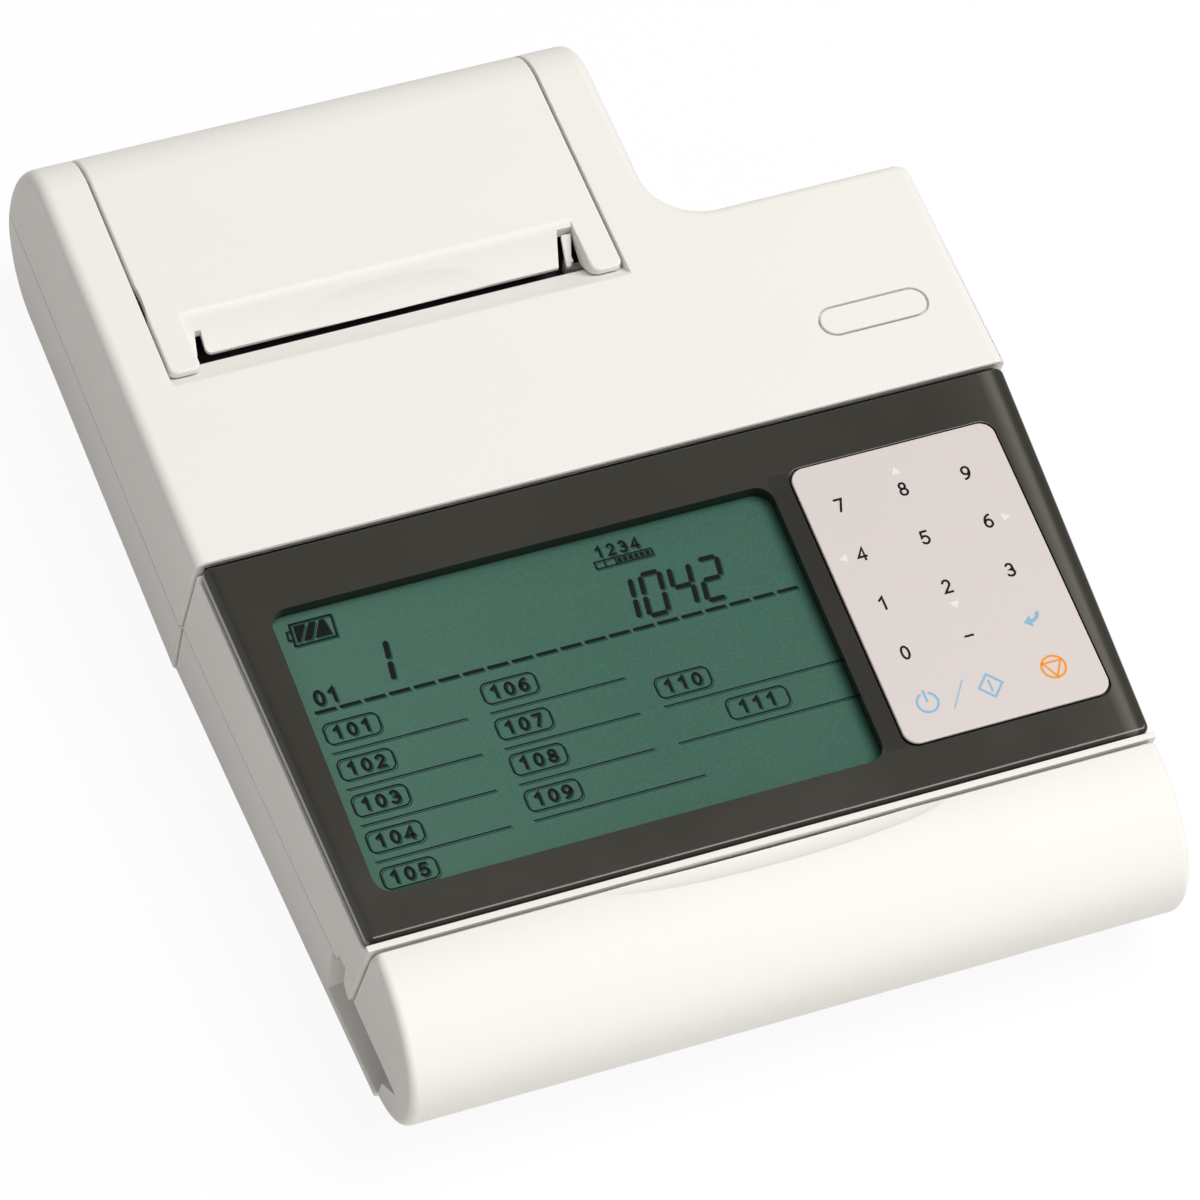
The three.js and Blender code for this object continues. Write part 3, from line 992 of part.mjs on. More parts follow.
const keyBoard = block(KEYPAD_LEFT - LCD_MARGIN / 2, KEYPAD_RIGHT + LCD_MARGIN / 2, -KEYPAD_FRONT - LCD_MARGIN,
  -KEYPAD_BACK + LCD_MARGIN, boardTop - BOARD_THICK, boardTop);
place('key_board', keyBoard, BOARD_GREEN(), panelGroup);
const lcdTop = -deckTop;
const lcdLow = lcdTop - LCD_THICK;
place('lcd_glass', lcdHole(0, lcdLow, lcdTop), LCD_GREEN(), panelGroup);
const lightTop = lcdLow - SEAT_GAP;
place('light_guide', lcdHole(0, lightTop - BACKLIGHT_THICK, lightTop), CLEAR_WHITE(), panelGroup);
const mainTop = lightTop - BACKLIGHT_THICK - SEAT_GAP;
const mainBoard = block(lcdLeft, lcdRight, -PANEL_DEPTH + BOARD_INSET, -BOARD_INSET, mainTop - BOARD_THICK,
  mainTop);
place('main_board', mainBoard, BOARD_GREEN(), panelGroup);

// Drawer front: a curved band between two cheeks, with a bracket for the tray
const coverTopRadius = COVER_TOP - COVER_NOSE_HEIGHT;
const coverLowRadius = COVER_NOSE_HEIGHT - COVER_BOTTOM;
const coverLipY = lipFront - SEAM_GAP;
const topCentreY = coverLipY - COVER_CREST_FLAT;
const lowCentreY = COVER_NOSE + coverLowRadius;
const footAngle = 180 + THREE.MathUtils.radToDeg(Math.acos((lowCentreY - COVER_LOWER_BACK) / coverLowRadius));
function coverCurve(inset) {
  const low = arc(0, 0, 1, footAngle, 180, 2 * ARC_STEPS).map(([a, b]) => [
    lowCentreY + a * (coverLowRadius - inset), COVER_NOSE_HEIGHT + b * (coverLowRadius - inset)]);
  const top = arc(0, 0, 1, 180, 90, 2 * ARC_STEPS).slice(1).map(([a, b]) => [
    topCentreY + a * (topCentreY - COVER_NOSE - inset),
    COVER_NOSE_HEIGHT + b * (coverTopRadius - inset)]);
  return [...low, ...top];
}
const bandTop = (inset) => [coverLipY, COVER_LIP_HEIGHT - inset];
const band = across([
  ...coverCurve(0), bandTop(0), bandTop(COVER_WALL), ...coverCurve(COVER_WALL).reverse(),
].reverse(), -COVER_HALF_WIDTH, COVER_HALF_WIDTH);
const cheekOutline = [
  ...coverCurve(0), bandTop(0),
  [CHEEK_TIP_BACK, CHEEK_TIP_HEIGHT],
  [CHEEK_SLOT_FRONT, CHEEK_SLOT_HEIGHT],
  [CHEEK_LOWER_BACK, CHEEK_LOWER_HEIGHT],
].reverse();
const cheek = (x0) => across(cheekOutline, x0, x0 + COVER_WALL);
const endRounding = along(crown(-COVER_HALF_WIDTH, COVER_HALF_WIDTH, -OVERRUN, COVER_TOP, COVER_END_RADIUS),
  COVER_NOSE - OVERRUN, CHEEK_TIP_BACK + OVERRUN);
const planRounding = raise([
  [-COVER_HALF_WIDTH, CHEEK_TIP_BACK + OVERRUN],
  ...arc(COVER_END_RADIUS - COVER_HALF_WIDTH, COVER_NOSE + COVER_END_RADIUS, COVER_END_RADIUS, 180, 270),
  ...arc(COVER_HALF_WIDTH - COVER_END_RADIUS, COVER_NOSE + COVER_END_RADIUS, COVER_END_RADIUS, 270, 360),
  [COVER_HALF_WIDTH, CHEEK_TIP_BACK + OVERRUN],
], -OVERRUN, BODY_TOP);
const scoopRadius = (SCOOP_WIDTH * SCOOP_WIDTH / 4 + SCOOP_DEPTH * SCOOP_DEPTH) / (2 * SCOOP_DEPTH);
const scoop = roundZ(0, coverLipY - SCOOP_DEPTH + scoopRadius, scoopRadius, COVER_NOSE_HEIGHT, BODY_TOP,
  SCOOP_STEPS);
const trayFront = COVER_NOSE + COVER_WALL + TRAY_BRACKET;
const bracket = block(-TRAY_HALF_WIDTH, TRAY_HALF_WIDTH, COVER_NOSE + COVER_WALL / 2, trayFront, TRAY_BASE,
  TRAY_BASE + TRAY_HEIGHT).intersect(across([...coverCurve(COVER_WALL / 2), bandTop(0)].reverse(),
  -TRAY_HALF_WIDTH, TRAY_HALF_WIDTH));
let drawerFront = unite(band, cheek(-COVER_HALF_WIDTH), cheek(COVER_HALF_WIDTH - COVER_WALL));
drawerFront = drawerFront.intersect(endRounding).intersect(planRounding);
drawerFront = unite(drawerFront.subtract(scoop), bracket);
place('drawer_front', drawerFront, WHITE_CASE());

// Strip tray on its two rails, with the rack that drives it
const trayBackY = TRAY_BACK;
const tray = carve(block(-TRAY_HALF_WIDTH, TRAY_HALF_WIDTH, trayFront + SEAT_GAP, trayBackY, TRAY_BASE,
  TRAY_BASE + TRAY_HEIGHT),
block(-TRAY_SIDE_HALF, TRAY_SIDE_HALF, trayFront + SEAT_GAP + TRAY_FLOOR, trayBackY - TRAY_FLOOR,
  TRAY_BASE + TRAY_FLOOR + TRAY_CHANNEL_DEPTH, BODY_TOP),
block(-TRAY_CHANNEL_HALF, TRAY_CHANNEL_HALF, trayFront + SEAT_GAP + 2 * TRAY_FLOOR, trayBackY - 2 * TRAY_FLOOR,
  TRAY_BASE + TRAY_FLOOR, BODY_TOP));
place('strip_tray', tray, GREY_PLASTIC());
const referenceBack = trayBackY - 2 * TRAY_FLOOR - SEAT_GAP;
place('white_reference', block(SEAT_GAP - TRAY_CHANNEL_HALF, TRAY_CHANNEL_HALF - SEAT_GAP,
  referenceBack - REFERENCE_LENGTH, referenceBack, TRAY_BASE + TRAY_FLOOR + SEAT_GAP,
  TRAY_BASE + TRAY_FLOOR + SEAT_GAP + REFERENCE_THICK), PAPER());

const railFront = -FLOOR_LIP + RIB;
const railBack = footBack - SEAT_GAP;
const toothPitch = Math.PI * GEAR_MODULE;
const rackRootX = TRAY_HALF_WIDTH + SEAT_GAP + RACK_BACKING;
const rackTipX = rackPitchX + GEAR_TIP_SHARE * GEAR_MODULE;
const rackStart = pinionY - RACK_FRONT_TEETH_SHARE * toothPitch;
const rackFront = rackStart - toothPitch / 2;
const rackTeeth = Math.floor((trayBackY - RACK_END_ROOM - rackFront) / toothPitch);
function rackOutline() {
  const points = [[TRAY_HALF_WIDTH + SEAT_GAP, rackFront]];
  for (let tooth = 0; tooth < rackTeeth; tooth += 1) {
    const middle = rackStart + tooth * toothPitch;
    const rootHalf = toothPitch * TOOTH_ROOT_SHARE;
    const tipHalf = toothPitch * TOOTH_TIP_SHARE;
    points.push([rackRootX, middle - rootHalf], [rackTipX, middle - tipHalf], [rackTipX, middle + tipHalf],
      [rackRootX, middle + rootHalf]);
  }
  const end = rackFront + rackTeeth * toothPitch;
  return [...points, [rackRootX, end], [TRAY_HALF_WIDTH + SEAT_GAP, end]];
}
place('tray_rack', raise(rackOutline(), rackLow, rackTop), GREY_PLASTIC());
[-1, 1].forEach((side) => {
  const rail = unite(
    sideBlock(side, TRAY_HALF_WIDTH + RUN_GAP, TRAY_HALF_WIDTH + RUN_GAP + RAIL_THICK, railFront, railBack,
      frontFloorTop + SEAT_GAP, railTop),
    sideBlock(side, TRAY_HALF_WIDTH - RAIL_SHELF, TRAY_HALF_WIDTH + RUN_GAP + RAIL_THICK / 2, railFront,
      railBack, frontFloorTop + SEAT_GAP, TRAY_BASE - SEAT_GAP));
  place(side < 0 ? 'tray_rail_left' : 'tray_rail_right', rail, STEEL());
});

const shaftTop = shelfTop + MOTOR_HEIGHT / 2;
function wheelOnZ(shape, thick, x, y, z0, turn) {
  const geometry = extrude(shape, thick);
  geometry.rotateZ(turn);
  geometry.translate(x, y, z0);
  return solidOf(geometry);
}
const pinionWheel = wheelOnZ(toothedWheel(PINION_TEETH), PINION_THICK, pinionX, pinionY, rackLow, Math.PI);
const pinionShaft = roundZ(pinionX, pinionY, SHAFT_RADIUS, rackLow + PINION_THICK / 2, shaftTop,
  SMALL_ROUND_STEPS);
place('tray_pinion', pinionWheel.add(pinionShaft), BRIGHT_STEEL());
const trayMotorLow = shelfTop + SEAT_GAP;
const trayMotorCan = roundZ(pinionX, pinionY, MOTOR_RADIUS, trayMotorLow, trayMotorLow + MOTOR_HEIGHT);
const trayMotorBore = roundZ(pinionX, pinionY, SHAFT_RADIUS + SEAT_GAP, 0, shaftTop + SEAT_GAP,
  SMALL_ROUND_STEPS);
place('tray_motor', trayMotorCan.subtract(trayMotorBore), STEEL());

// Optical head: a bridge over the tray, standing on the floor
const opticsFront = OPTICS_BACK - OPTICS_LENGTH;
const opticsLow = OPTICS_TOP - OPTICS_HEIGHT;
const optics = unite(
  block(-OPTICS_HALF_WIDTH, OPTICS_HALF_WIDTH, opticsFront, OPTICS_BACK, opticsLow, OPTICS_TOP),
  ...[-1, 1].map((side) => sideBlock(side, OPTICS_HALF_WIDTH - RIB, OPTICS_HALF_WIDTH, opticsFront, OPTICS_BACK,
    frontFloorTop + SEAT_GAP, OPTICS_TOP)),
).subtract(block(-TRAY_CHANNEL_HALF, TRAY_CHANNEL_HALF, opticsFront + OPTICS_CAVITY_WALL,
  OPTICS_BACK - OPTICS_CAVITY_WALL, opticsLow - OVERRUN, OPTICS_TOP - OPTICS_CAVITY_DEPTH));
place('optical_head', optics, BLACK_PLASTIC());

export default analyzer;
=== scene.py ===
"""A flat desk analyzer for test strips: white moulded case, tilted display and key panel, rear printer tower
with an opening cover, and a strip drawer behind the rounded front. Pieces are drawn in millimetres in the
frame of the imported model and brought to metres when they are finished."""
import json
import math

import bmesh
import bpy
from mathutils import Matrix, Vector

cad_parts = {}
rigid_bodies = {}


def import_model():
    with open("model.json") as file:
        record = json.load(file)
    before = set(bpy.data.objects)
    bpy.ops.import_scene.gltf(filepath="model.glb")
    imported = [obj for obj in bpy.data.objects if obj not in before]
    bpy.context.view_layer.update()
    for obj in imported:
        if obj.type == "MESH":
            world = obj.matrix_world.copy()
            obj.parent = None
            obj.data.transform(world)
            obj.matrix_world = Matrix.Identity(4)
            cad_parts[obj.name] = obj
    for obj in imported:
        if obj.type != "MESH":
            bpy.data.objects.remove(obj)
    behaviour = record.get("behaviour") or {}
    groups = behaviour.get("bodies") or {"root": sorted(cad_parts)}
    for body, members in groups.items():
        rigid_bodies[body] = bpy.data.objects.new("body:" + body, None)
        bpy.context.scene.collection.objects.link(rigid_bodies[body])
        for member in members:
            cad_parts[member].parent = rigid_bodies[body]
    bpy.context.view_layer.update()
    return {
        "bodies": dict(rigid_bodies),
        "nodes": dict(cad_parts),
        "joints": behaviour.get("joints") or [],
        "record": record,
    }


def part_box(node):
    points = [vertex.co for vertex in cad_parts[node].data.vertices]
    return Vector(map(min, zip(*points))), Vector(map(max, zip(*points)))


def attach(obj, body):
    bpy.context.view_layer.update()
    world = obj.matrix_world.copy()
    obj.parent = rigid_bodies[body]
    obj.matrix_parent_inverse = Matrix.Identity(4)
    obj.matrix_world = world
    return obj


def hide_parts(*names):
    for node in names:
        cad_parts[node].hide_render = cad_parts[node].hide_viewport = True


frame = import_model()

bl_info = {
    "name": "Desk strip analyzer",
    "version": (1, 0, 0),
    "blender": (4, 5, 0),
    "location": "View3D > Sidebar > Analyzer",
    "description": "Builds a flat desk analyzer with a display, keys, a printer and a strip drawer",
    "category": "Object",
}

MM = 0.001


def cad_box(node):
    """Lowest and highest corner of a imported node, in millimetres."""
    low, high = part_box(node)
    return low / MM, high / MM


def cad_span(node):
    """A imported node's box as its two ends along x, along y and along z."""
    return tuple(value for pair in zip(*cad_box(node)) for value in pair)


def cad_middle(node, letters):
    """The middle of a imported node's box, as seen along the axis that isn't named."""
    low, high = cad_box(node)
    return tuple((getattr(low, letter) + getattr(high, letter)) / 2 for letter in letters)


REAR_LOW, REAR_HIGH = cad_box("rear_upper_case")
FRONT_LOW = cad_box("front_lower_case")[0]
COVER_LOW, COVER_HIGH = cad_box("drawer_front")
DOOR_LOW, DOOR_HIGH = cad_box("printer_cover")
PANEL_HIGH = cad_box("display_panel")[1]
INLAY_LOW, INLAY_HIGH = cad_box("oval_inlay")
LOWER_LOW = cad_box("rear_lower_case")[0]

# Clearances, walls and the roundings of moulded edges
SEAM = 0.4
SEAT = 0.3
WALL = 1.8
FLOOR = 1.6
RIB = 1.6
OVERRUN = 5.0
CASE_FILLET = 2.4
FILLET_STEPS = 7
RIM_FILLET = 1.9
RIM_STEPS = 10
ARC_STEPS = 20
ROUND_STEPS = 48
SHARP_ANGLE = 32
SMOOTH_ANGLE = 40
SAME_PLANE = 0.4
SAME_SPOT = 0.001
ON_EDGE = 0.02
ON_OUTLINE = 0.05
SORT_AXIS = Vector((1.0, 0.01371, 0.00073))

# Radii of the small roundings along edges
CASE_EDGE = 0.28
BELLY_EDGE = 0.2
COVER_EDGE = 0.45
PLATE_EDGE = 0.25
TAB_EDGE = 0.15
SIDE_EDGE = 0.22
TUB_EDGE = 0.3
CHEEK_EDGE = 0.12
POCKET_EDGE = 0.14
SHEET_EDGE = 0.16
INLAY_EDGE = 0.18

# Rear body
BODY_TOP = REAR_HIGH.z
REAR_BOTTOM = LOWER_LOW.z
REAR_HALF = REAR_HIGH.x
REAR_EDGE = REAR_HIGH.y
REAR_FRONT = -0.25
TOP_RADIUS = 10.3
BOTTOM_RADIUS = 12.4
LEAN = math.radians(23)
REAR_SPLIT = REAR_LOW.z
TOWER_RIGHT = 24.0
RIGHT_PART_BACK = 39.5
INNER_CORNER = 9.0
SEAM_MID = 3.7
SEAM_FOOT = 5.1

# Panel plane
PANEL_BACK = -0.55
PANEL_STEP = 0.7
PANEL_BACK_HEIGHT = BODY_TOP - PANEL_STEP
PANEL_TILT = math.radians(4)
PANEL_DEPTH = 64.5
PANEL_HALF_BACK = PANEL_HIGH.x
PANEL_TAPER = 2.6
PANEL_THICK = 2.2
PANEL_BEVEL = 0.7
PANEL_CORNER = 1.2
TO_PANEL = Matrix.Translation((0, PANEL_BACK, PANEL_BACK_HEIGHT)) @ Matrix.Rotation(PANEL_TILT, 4, "X")
WINDOW = (-56.5, 21.7, -57.8, -9.7)
WINDOW_CORNER = 2.8
KEYPAD = (25.1, 57.7, -57.0, -8.7)
KEYPAD_CORNER = 2.3
KEYPAD_TOP = 0.3
KEYPAD_THICK = 0.5
KEY_FIRST = (30.4, -16.0)
KEY_PITCH = (10.15, 8.7)
KEY_RADIUS = 2.8
START_REACH = 3.4
LCD_TOP = -2.5
LCD_MARGIN = 1.6

# Printer bay
BAY_LEFT = DOOR_LOW.x - SEAM
BAY_RIGHT = DOOR_HIGH.x + SEAM
SLOT_FRONT = 36.2
SLOT_WIDTH = 1.5
SLOT_BACK = SLOT_FRONT + SLOT_WIDTH
SLOT_HEIGHT = BODY_TOP - 3.7
POCKET_FRONT = SLOT_FRONT - 5.2
PRONG_END = SLOT_FRONT - 3.3
PRONG_WIDTH = 4.8
FLAP_TOP = SLOT_FRONT + 7.0
HINGE_HEIGHT = BODY_TOP - 16.2
KNUCKLE_RADIUS = 1.5
KNUCKLE_COUNT = 5
PIN_RADIUS = 0.6
BATTERY_CLEAR = 18.8

# Front body and drawer front
FRONT_BOTTOM = FRONT_LOW.z
FRONT_HALF_BACK = REAR_HALF - 0.6
FRONT_SPLIT = 15.2
COVER_HALF = COVER_HIGH.x
COVER_NOSE = COVER_LOW.y
COVER_TOP = COVER_HIGH.z
COVER_BOTTOM = COVER_LOW.z
NOSE_HEIGHT = 16.4
COVER_WALL = 1.9
CREST_FLAT = 0.53
LIP_THICK = 1.1
END_RADIUS = 1.3
CHEEK_TIP = (COVER_HIGH.y, 11.5)
CHEEK_SLOT = (COVER_NOSE + 5.2, 13.1)
CHEEK_LOWER = (COVER_NOSE + 10.0, 8.8)
LOWER_BACK = COVER_NOSE + 11.0
SIDE_WINDOW = COVER_HIGH.y + 7.3
FLOOR_LIP = COVER_NOSE + 11.3
HOOK_DEPTH = 5.0
HOOK_HEIGHT = 3.6
GRIP_DEPTH = 4.6
FRONT_DROP = 11.0
TRAY_HALF = 12.6


def moved(bm, matrix):
    """The solid, carried by a matrix."""
    bm.transform(matrix)
    return bm


def raised(bm, faces, reach):
    """Flat faces drawn out into a closed solid."""
    drawn = bmesh.ops.extrude_face_region(bm, geom=faces)["geom"]
    bmesh.ops.translate(bm, verts=[item for item in drawn if isinstance(item, bmesh.types.BMVert)],
                        vec=Vector(reach))
    bmesh.ops.recalc_face_normals(bm, faces=bm.faces)
    return bm


def prism(points, axis, low, high):
    """A closed outline drawn out along an axis: (y, z) along X, (x, z) along Y, (x, y) along Z."""
    bm = bmesh.new()
    place = {"X": lambda a, b: (low, a, b), "Y": lambda a, b: (a, low, b),
             "Z": lambda a, b: (a, b, low)}[axis]
    face = bm.faces.new([bm.verts.new(place(a, b)) for a, b in points])
    return raised(bm, [face], [(high - low) if letter == axis else 0 for letter in "XYZ"])


def block(x0, x1, y0, y1, z0, z1):
    """A box between two corners."""
    return prism([(x0, y0), (x1, y0), (x1, y1), (x0, y1)], "Z", z0, z1)


def side_block(side, near, far, *rest):
    """A box on one side of the middle plane."""
    return block(min(side * near, side * far), max(side * near, side * far), *rest)


def rod(axis, centre, radius, low, high, steps=32):
    """A round bar along an axis, about a centre given as the outline's two coordinates."""
    return prism(arc(*centre, radius, 0, 360, steps)[:-1], axis, low, high)


def arc(a, b, radius, start, end, steps=ARC_STEPS):
    """Points of an arc about (a, b), from one angle to another in degrees."""
    turns = [math.radians(start + (end - start) * step / steps) for step in range(steps + 1)]
    return [(a + radius * math.cos(turn), b + radius * math.sin(turn)) for turn in turns]


def rounded(a0, a1, b0, b1, radius, steps=8):
    """A rectangle with round corners."""
    corners = ((a1 - radius, b0 + radius), (a1 - radius, b1 - radius), (a0 + radius, b1 - radius),
               (a0 + radius, b0 + radius))
    return [point for turn, corner in enumerate(corners)
            for point in arc(*corner, radius, 90 * turn - 90, 90 * turn, steps)]


def merged(*solids):
    """Several solids in one bmesh, untouched."""
    whole = bmesh.new()
    for solid in solids:
        mesh = bpy.data.meshes.new("part")
        solid.to_mesh(mesh)
        solid.free()
        whole.from_mesh(mesh)
        bpy.data.meshes.remove(mesh)
    return whole


def sort_key(element):
    """Where an element lies along a skew line, so that each run puts a solid's elements in the same order."""
    if isinstance(element, bmesh.types.BMVert):
        return element.co.dot(SORT_AXIS)
    return sum(vert.co.dot(SORT_AXIS) for vert in element.verts) / len(element.verts)


def combined(first, second, operation):
    """Two solids cut, joined or limited by each other."""
    objects = []
    for solid in (first, second):
        mesh = bpy.data.meshes.new("solid")
        solid.to_mesh(mesh)
        solid.free()
        objects.append(bpy.data.objects.new("solid", mesh))
        bpy.context.scene.collection.objects.link(objects[-1])
    modifier = objects[0].modifiers.new("Boolean", "BOOLEAN")
    modifier.operation = operation
    modifier.solver = "EXACT"
    modifier.object = objects[1]
    bpy.context.view_layer.update()
    result = bmesh.new()
    result.from_object(objects[0], bpy.context.evaluated_depsgraph_get())
    for elements in (result.verts, result.edges, result.faces):
        elements.sort(key=sort_key)
    for item in objects:
        mesh = item.data
        bpy.data.objects.remove(item)
        bpy.data.meshes.remove(mesh)
    return result


def cut(solid, *tools):
    """The solid less each tool."""
    for tool in tools:
        solid = combined(solid, tool, "DIFFERENCE")
    return solid


def joined(solid, *others):
    """The solid with each of the others grown on."""
    for other in others:
        solid = combined(solid, other, "UNION")
    return solid


def common(first, second):
    """What two solids share."""
    return combined(first, second, "INTERSECT")


def tidy_faces(bm):
    """Merges doubled points and faces that lie in one plane."""
    bmesh.ops.remove_doubles(bm, verts=bm.verts, dist=SAME_SPOT)
    bmesh.ops.dissolve_limit(bm, angle_limit=math.radians(SAME_PLANE), verts=bm.verts, edges=bm.edges,
                             delimit={"NORMAL"})
    return bm


def round_off(bm, edges, width, steps):
    """Rounds these edges with a fillet of a width."""
    bmesh.ops.bevel(bm, geom=edges, offset=width, offset_type="OFFSET", segments=steps, profile=0.5,
                    affect="EDGES", clamp_overlap=False, material=-1)
    return bm


def sharp_edges(bm):
    """The edges of a solid where two faces meet at a clear angle, each with its middle."""
    return [(edge, (edge.verts[0].co + edge.verts[1].co) / 2) for edge in bm.edges
            if len(edge.link_faces) == 2 and edge.calc_face_angle(0) > math.radians(SHARP_ANGLE)]


def beveled(bm, width, steps, pick):
    """Rounds the sharp edges that a test picks by their middle."""
    return round_off(bm, [edge for edge, middle in sharp_edges(bm) if pick(middle)], width, steps)


def on_outline(points):
    """A test for places on an outline that is seen from the side."""
    middles = [((a + c) / 2, (b + d) / 2) for (a, b), (c, d) in zip(points, points[1:])]
    return lambda spot: any(math.hypot(spot.y - a, spot.z - b) < ON_OUTLINE for a, b in middles)


def finished(bm, name, body, slot, stands_for=None, material=None):
    """Turns a solid drawn in millimetres into a named piece that rides on a body."""
    bm.transform(Matrix.Scale(MM, 4))
    mesh = bpy.data.meshes.new(name)
    bm.to_mesh(mesh)
    bm.free()
    mesh.shade_smooth()
    mesh.set_sharp_from_angle(angle=math.radians(SMOOTH_ANGLE))
    piece = bpy.data.objects.new(name, mesh)
    bpy.context.scene.collection.objects.link(piece)
    mesh.materials.append(material or finish(slot))
    piece.modifiers.new("Even shading", "WEIGHTED_NORMAL").keep_sharp = True
    if stands_for:
        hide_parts(stands_for)
    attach(piece, body)
    return piece


# Materials: shared effects are groups, shaders stay in each material
def new_group(name, inputs, outputs):
    """A shader group with named inputs and outputs, and its two end nodes."""
    group = bpy.data.node_groups.new(name, "ShaderNodeTree")
    for label, kind, default in inputs:
        socket = group.interface.new_socket(label, in_out="INPUT", socket_type=kind)
        if default is not None:
            socket.default_value = default
    for label, kind in outputs:
        group.interface.new_socket(label, in_out="OUTPUT", socket_type=kind)
    return group, group.nodes.new("NodeGroupInput"), group.nodes.new("NodeGroupOutput")


def feed(tree, socket, value):
    """Gives an input a value, or the output that drives it."""
    if isinstance(value, bpy.types.NodeSocket):
        tree.links.new(value, socket)
    else:
        socket.default_value = value


def added(tree, kind, **values):
    """A node of a kind with its settings, and its inputs fed."""
    node = tree.nodes.new(kind)
    for key, value in values.items():
        if hasattr(node, key) and key not in node.inputs:
            setattr(node, key, value)
        else:
            feed(tree, node.inputs[key.replace("_", " ")], value)
    return node


def math_node(tree, operation, *values):
    """A math node whose inputs are values or sockets."""
    node = tree.nodes.new("ShaderNodeMath")
    node.operation = operation
    for socket, value in zip(node.inputs, values):
        feed(tree, socket, value)
    return node.outputs[0]


def product(tree, *factors):
    """Masks and values multiplied with each other."""
    total = factors[0]
    for factor in factors[1:]:
        total = math_node(tree, "MULTIPLY", total, factor)
    return total


def mixed(tree, factor, first, second, blend="MIX"):
    """A colour mix whose factor and colours are values or sockets."""
    node = tree.nodes.new("ShaderNodeMix")
    node.data_type = "RGBA"
    node.blend_type = blend
    for place, value in ((0, factor), (6, first), (7, second)):
        feed(tree, node.inputs[place], value)
    return node.outputs[2]


def moulded_grain_group():
    """Fine spark texture of a moulding, with a faint broad waviness, as a height and a mottle mask."""
    group, given, out = new_group("Moulded grain", [
        ("Vector", "NodeSocketVector", None), ("Scale", "NodeSocketFloat", 2200.0),
        ("Waviness", "NodeSocketFloat", 0.15)],
        [("Height", "NodeSocketFloat"), ("Mottle", "NodeSocketFloat")])
    spot = given.outputs["Vector"]
    fine = added(group, "ShaderNodeTexNoise", Vector=spot, Scale=given.outputs["Scale"], Detail=3.0,
                 Roughness=0.6)
    broad = added(group, "ShaderNodeTexNoise", Vector=spot, Scale=55.0, Detail=2.0, Roughness=0.5)
    wave = product(group, broad.outputs["Fac"], given.outputs["Waviness"])
    group.links.new(math_node(group, "ADD", fine.outputs["Fac"], wave), out.inputs["Height"])
    group.links.new(broad.outputs["Fac"], out.inputs["Mottle"])
    return group


def handling_group():
    """Faint cloudy handling marks and specks of dust, as two masks."""
    group, given, out = new_group("Handling", [
        ("Vector", "NodeSocketVector", None), ("Cloud Scale", "NodeSocketFloat", 38.0)],
        [("Cloud", "NodeSocketFloat"), ("Specks", "NodeSocketFloat")])
    spot = given.outputs["Vector"]
    cloud = added(group, "ShaderNodeTexNoise", Vector=spot, Scale=given.outputs["Cloud Scale"], Detail=5.0,
                  Roughness=0.62, Distortion=0.4)
    ramp = added(group, "ShaderNodeMapRange", Value=cloud.outputs["Fac"], From_Min=0.42, From_Max=0.75)
    group.links.new(ramp.outputs["Result"], out.inputs["Cloud"])
    dots = added(group, "ShaderNodeTexVoronoi", Vector=spot, Scale=420.0, Randomness=1.0)
    specks = math_node(group, "LESS_THAN", dots.outputs["Distance"], SPECK_REACH)
    group.links.new(specks, out.inputs["Specks"])
    return group


def brushed_group():
    """Fine parallel brushing along X, as a height and a streak mask."""
    group, given, out = new_group("Brushed metal", [
        ("Vector", "NodeSocketVector", None), ("Stretch", "NodeSocketVector", (60.0, 2400.0, 2400.0))],
        [("Height", "NodeSocketFloat"), ("Streaks", "NodeSocketFloat")])
    mapping = added(group, "ShaderNodeMapping", Vector=given.outputs["Vector"],
                    Scale=given.outputs["Stretch"])
    streaks = added(group, "ShaderNodeTexNoise", Vector=mapping.outputs["Vector"], Scale=1.0, Detail=4.0,
                    Roughness=0.65)
    for label in ("Height", "Streaks"):
        group.links.new(streaks.outputs["Fac"], out.inputs[label])
    return group


def linear(red, green, blue):
    """A colour given as it looks on screen, from 0 to 255."""
    def part(value):
        share = value / 255
        return share / 12.92 if share <= 0.04045 else ((share + 0.055) / 1.055) ** 2.4
    return (part(red), part(green), part(blue), 1.0)


def scaled(color, factor):
    """A colour made darker or lighter."""
    return (*(min(1.0, channel * factor) for channel in color[:3]), 1.0)


GROUPS = {}
GROUP_MAKERS = {"Moulded grain": moulded_grain_group, "Handling": handling_group,
                "Brushed metal": brushed_group}
SPECK_REACH = 0.035
SPECK_SHARE = 0.25
SPECK_SHADE = 0.7
CLOUD_GLOSS = 0.08
GRAIN_HEIGHT = 0.00012
STREAK_SHADE = 0.75
STREAK_GLOSS = 0.2
STREAK_BUMP = 0.08
STREAK_HEIGHT = 0.0001


def shared(tree, name, **values):
    """A node of a shared group, which is built on first use."""
    if name not in GROUPS:
        GROUPS[name] = GROUP_MAKERS[name]()
    return added(tree, "ShaderNodeGroup", node_tree=GROUPS[name], **values)


def new_material(name):
    """A new material, its tree, its shader and the place on the object."""
    material = bpy.data.materials.new(name)
    material.use_nodes = True
    tree = material.node_tree
    spot = tree.nodes.new("ShaderNodeTexCoord").outputs["Object"]
    return material, tree, tree.nodes["Principled BSDF"], spot


def set_inputs(shader, values):
    """Sets constants on a shader's own sockets."""
    for key, value in values.items():
        shader.inputs[key.replace("_", " ")].default_value = value


def relief(tree, shader, height, strength, distance):
    """Gives a shader a fine relief."""
    bump = added(tree, "ShaderNodeBump", Height=height, Strength=strength, Distance=distance)
    tree.links.new(bump.outputs["Normal"], shader.inputs["Normal"])


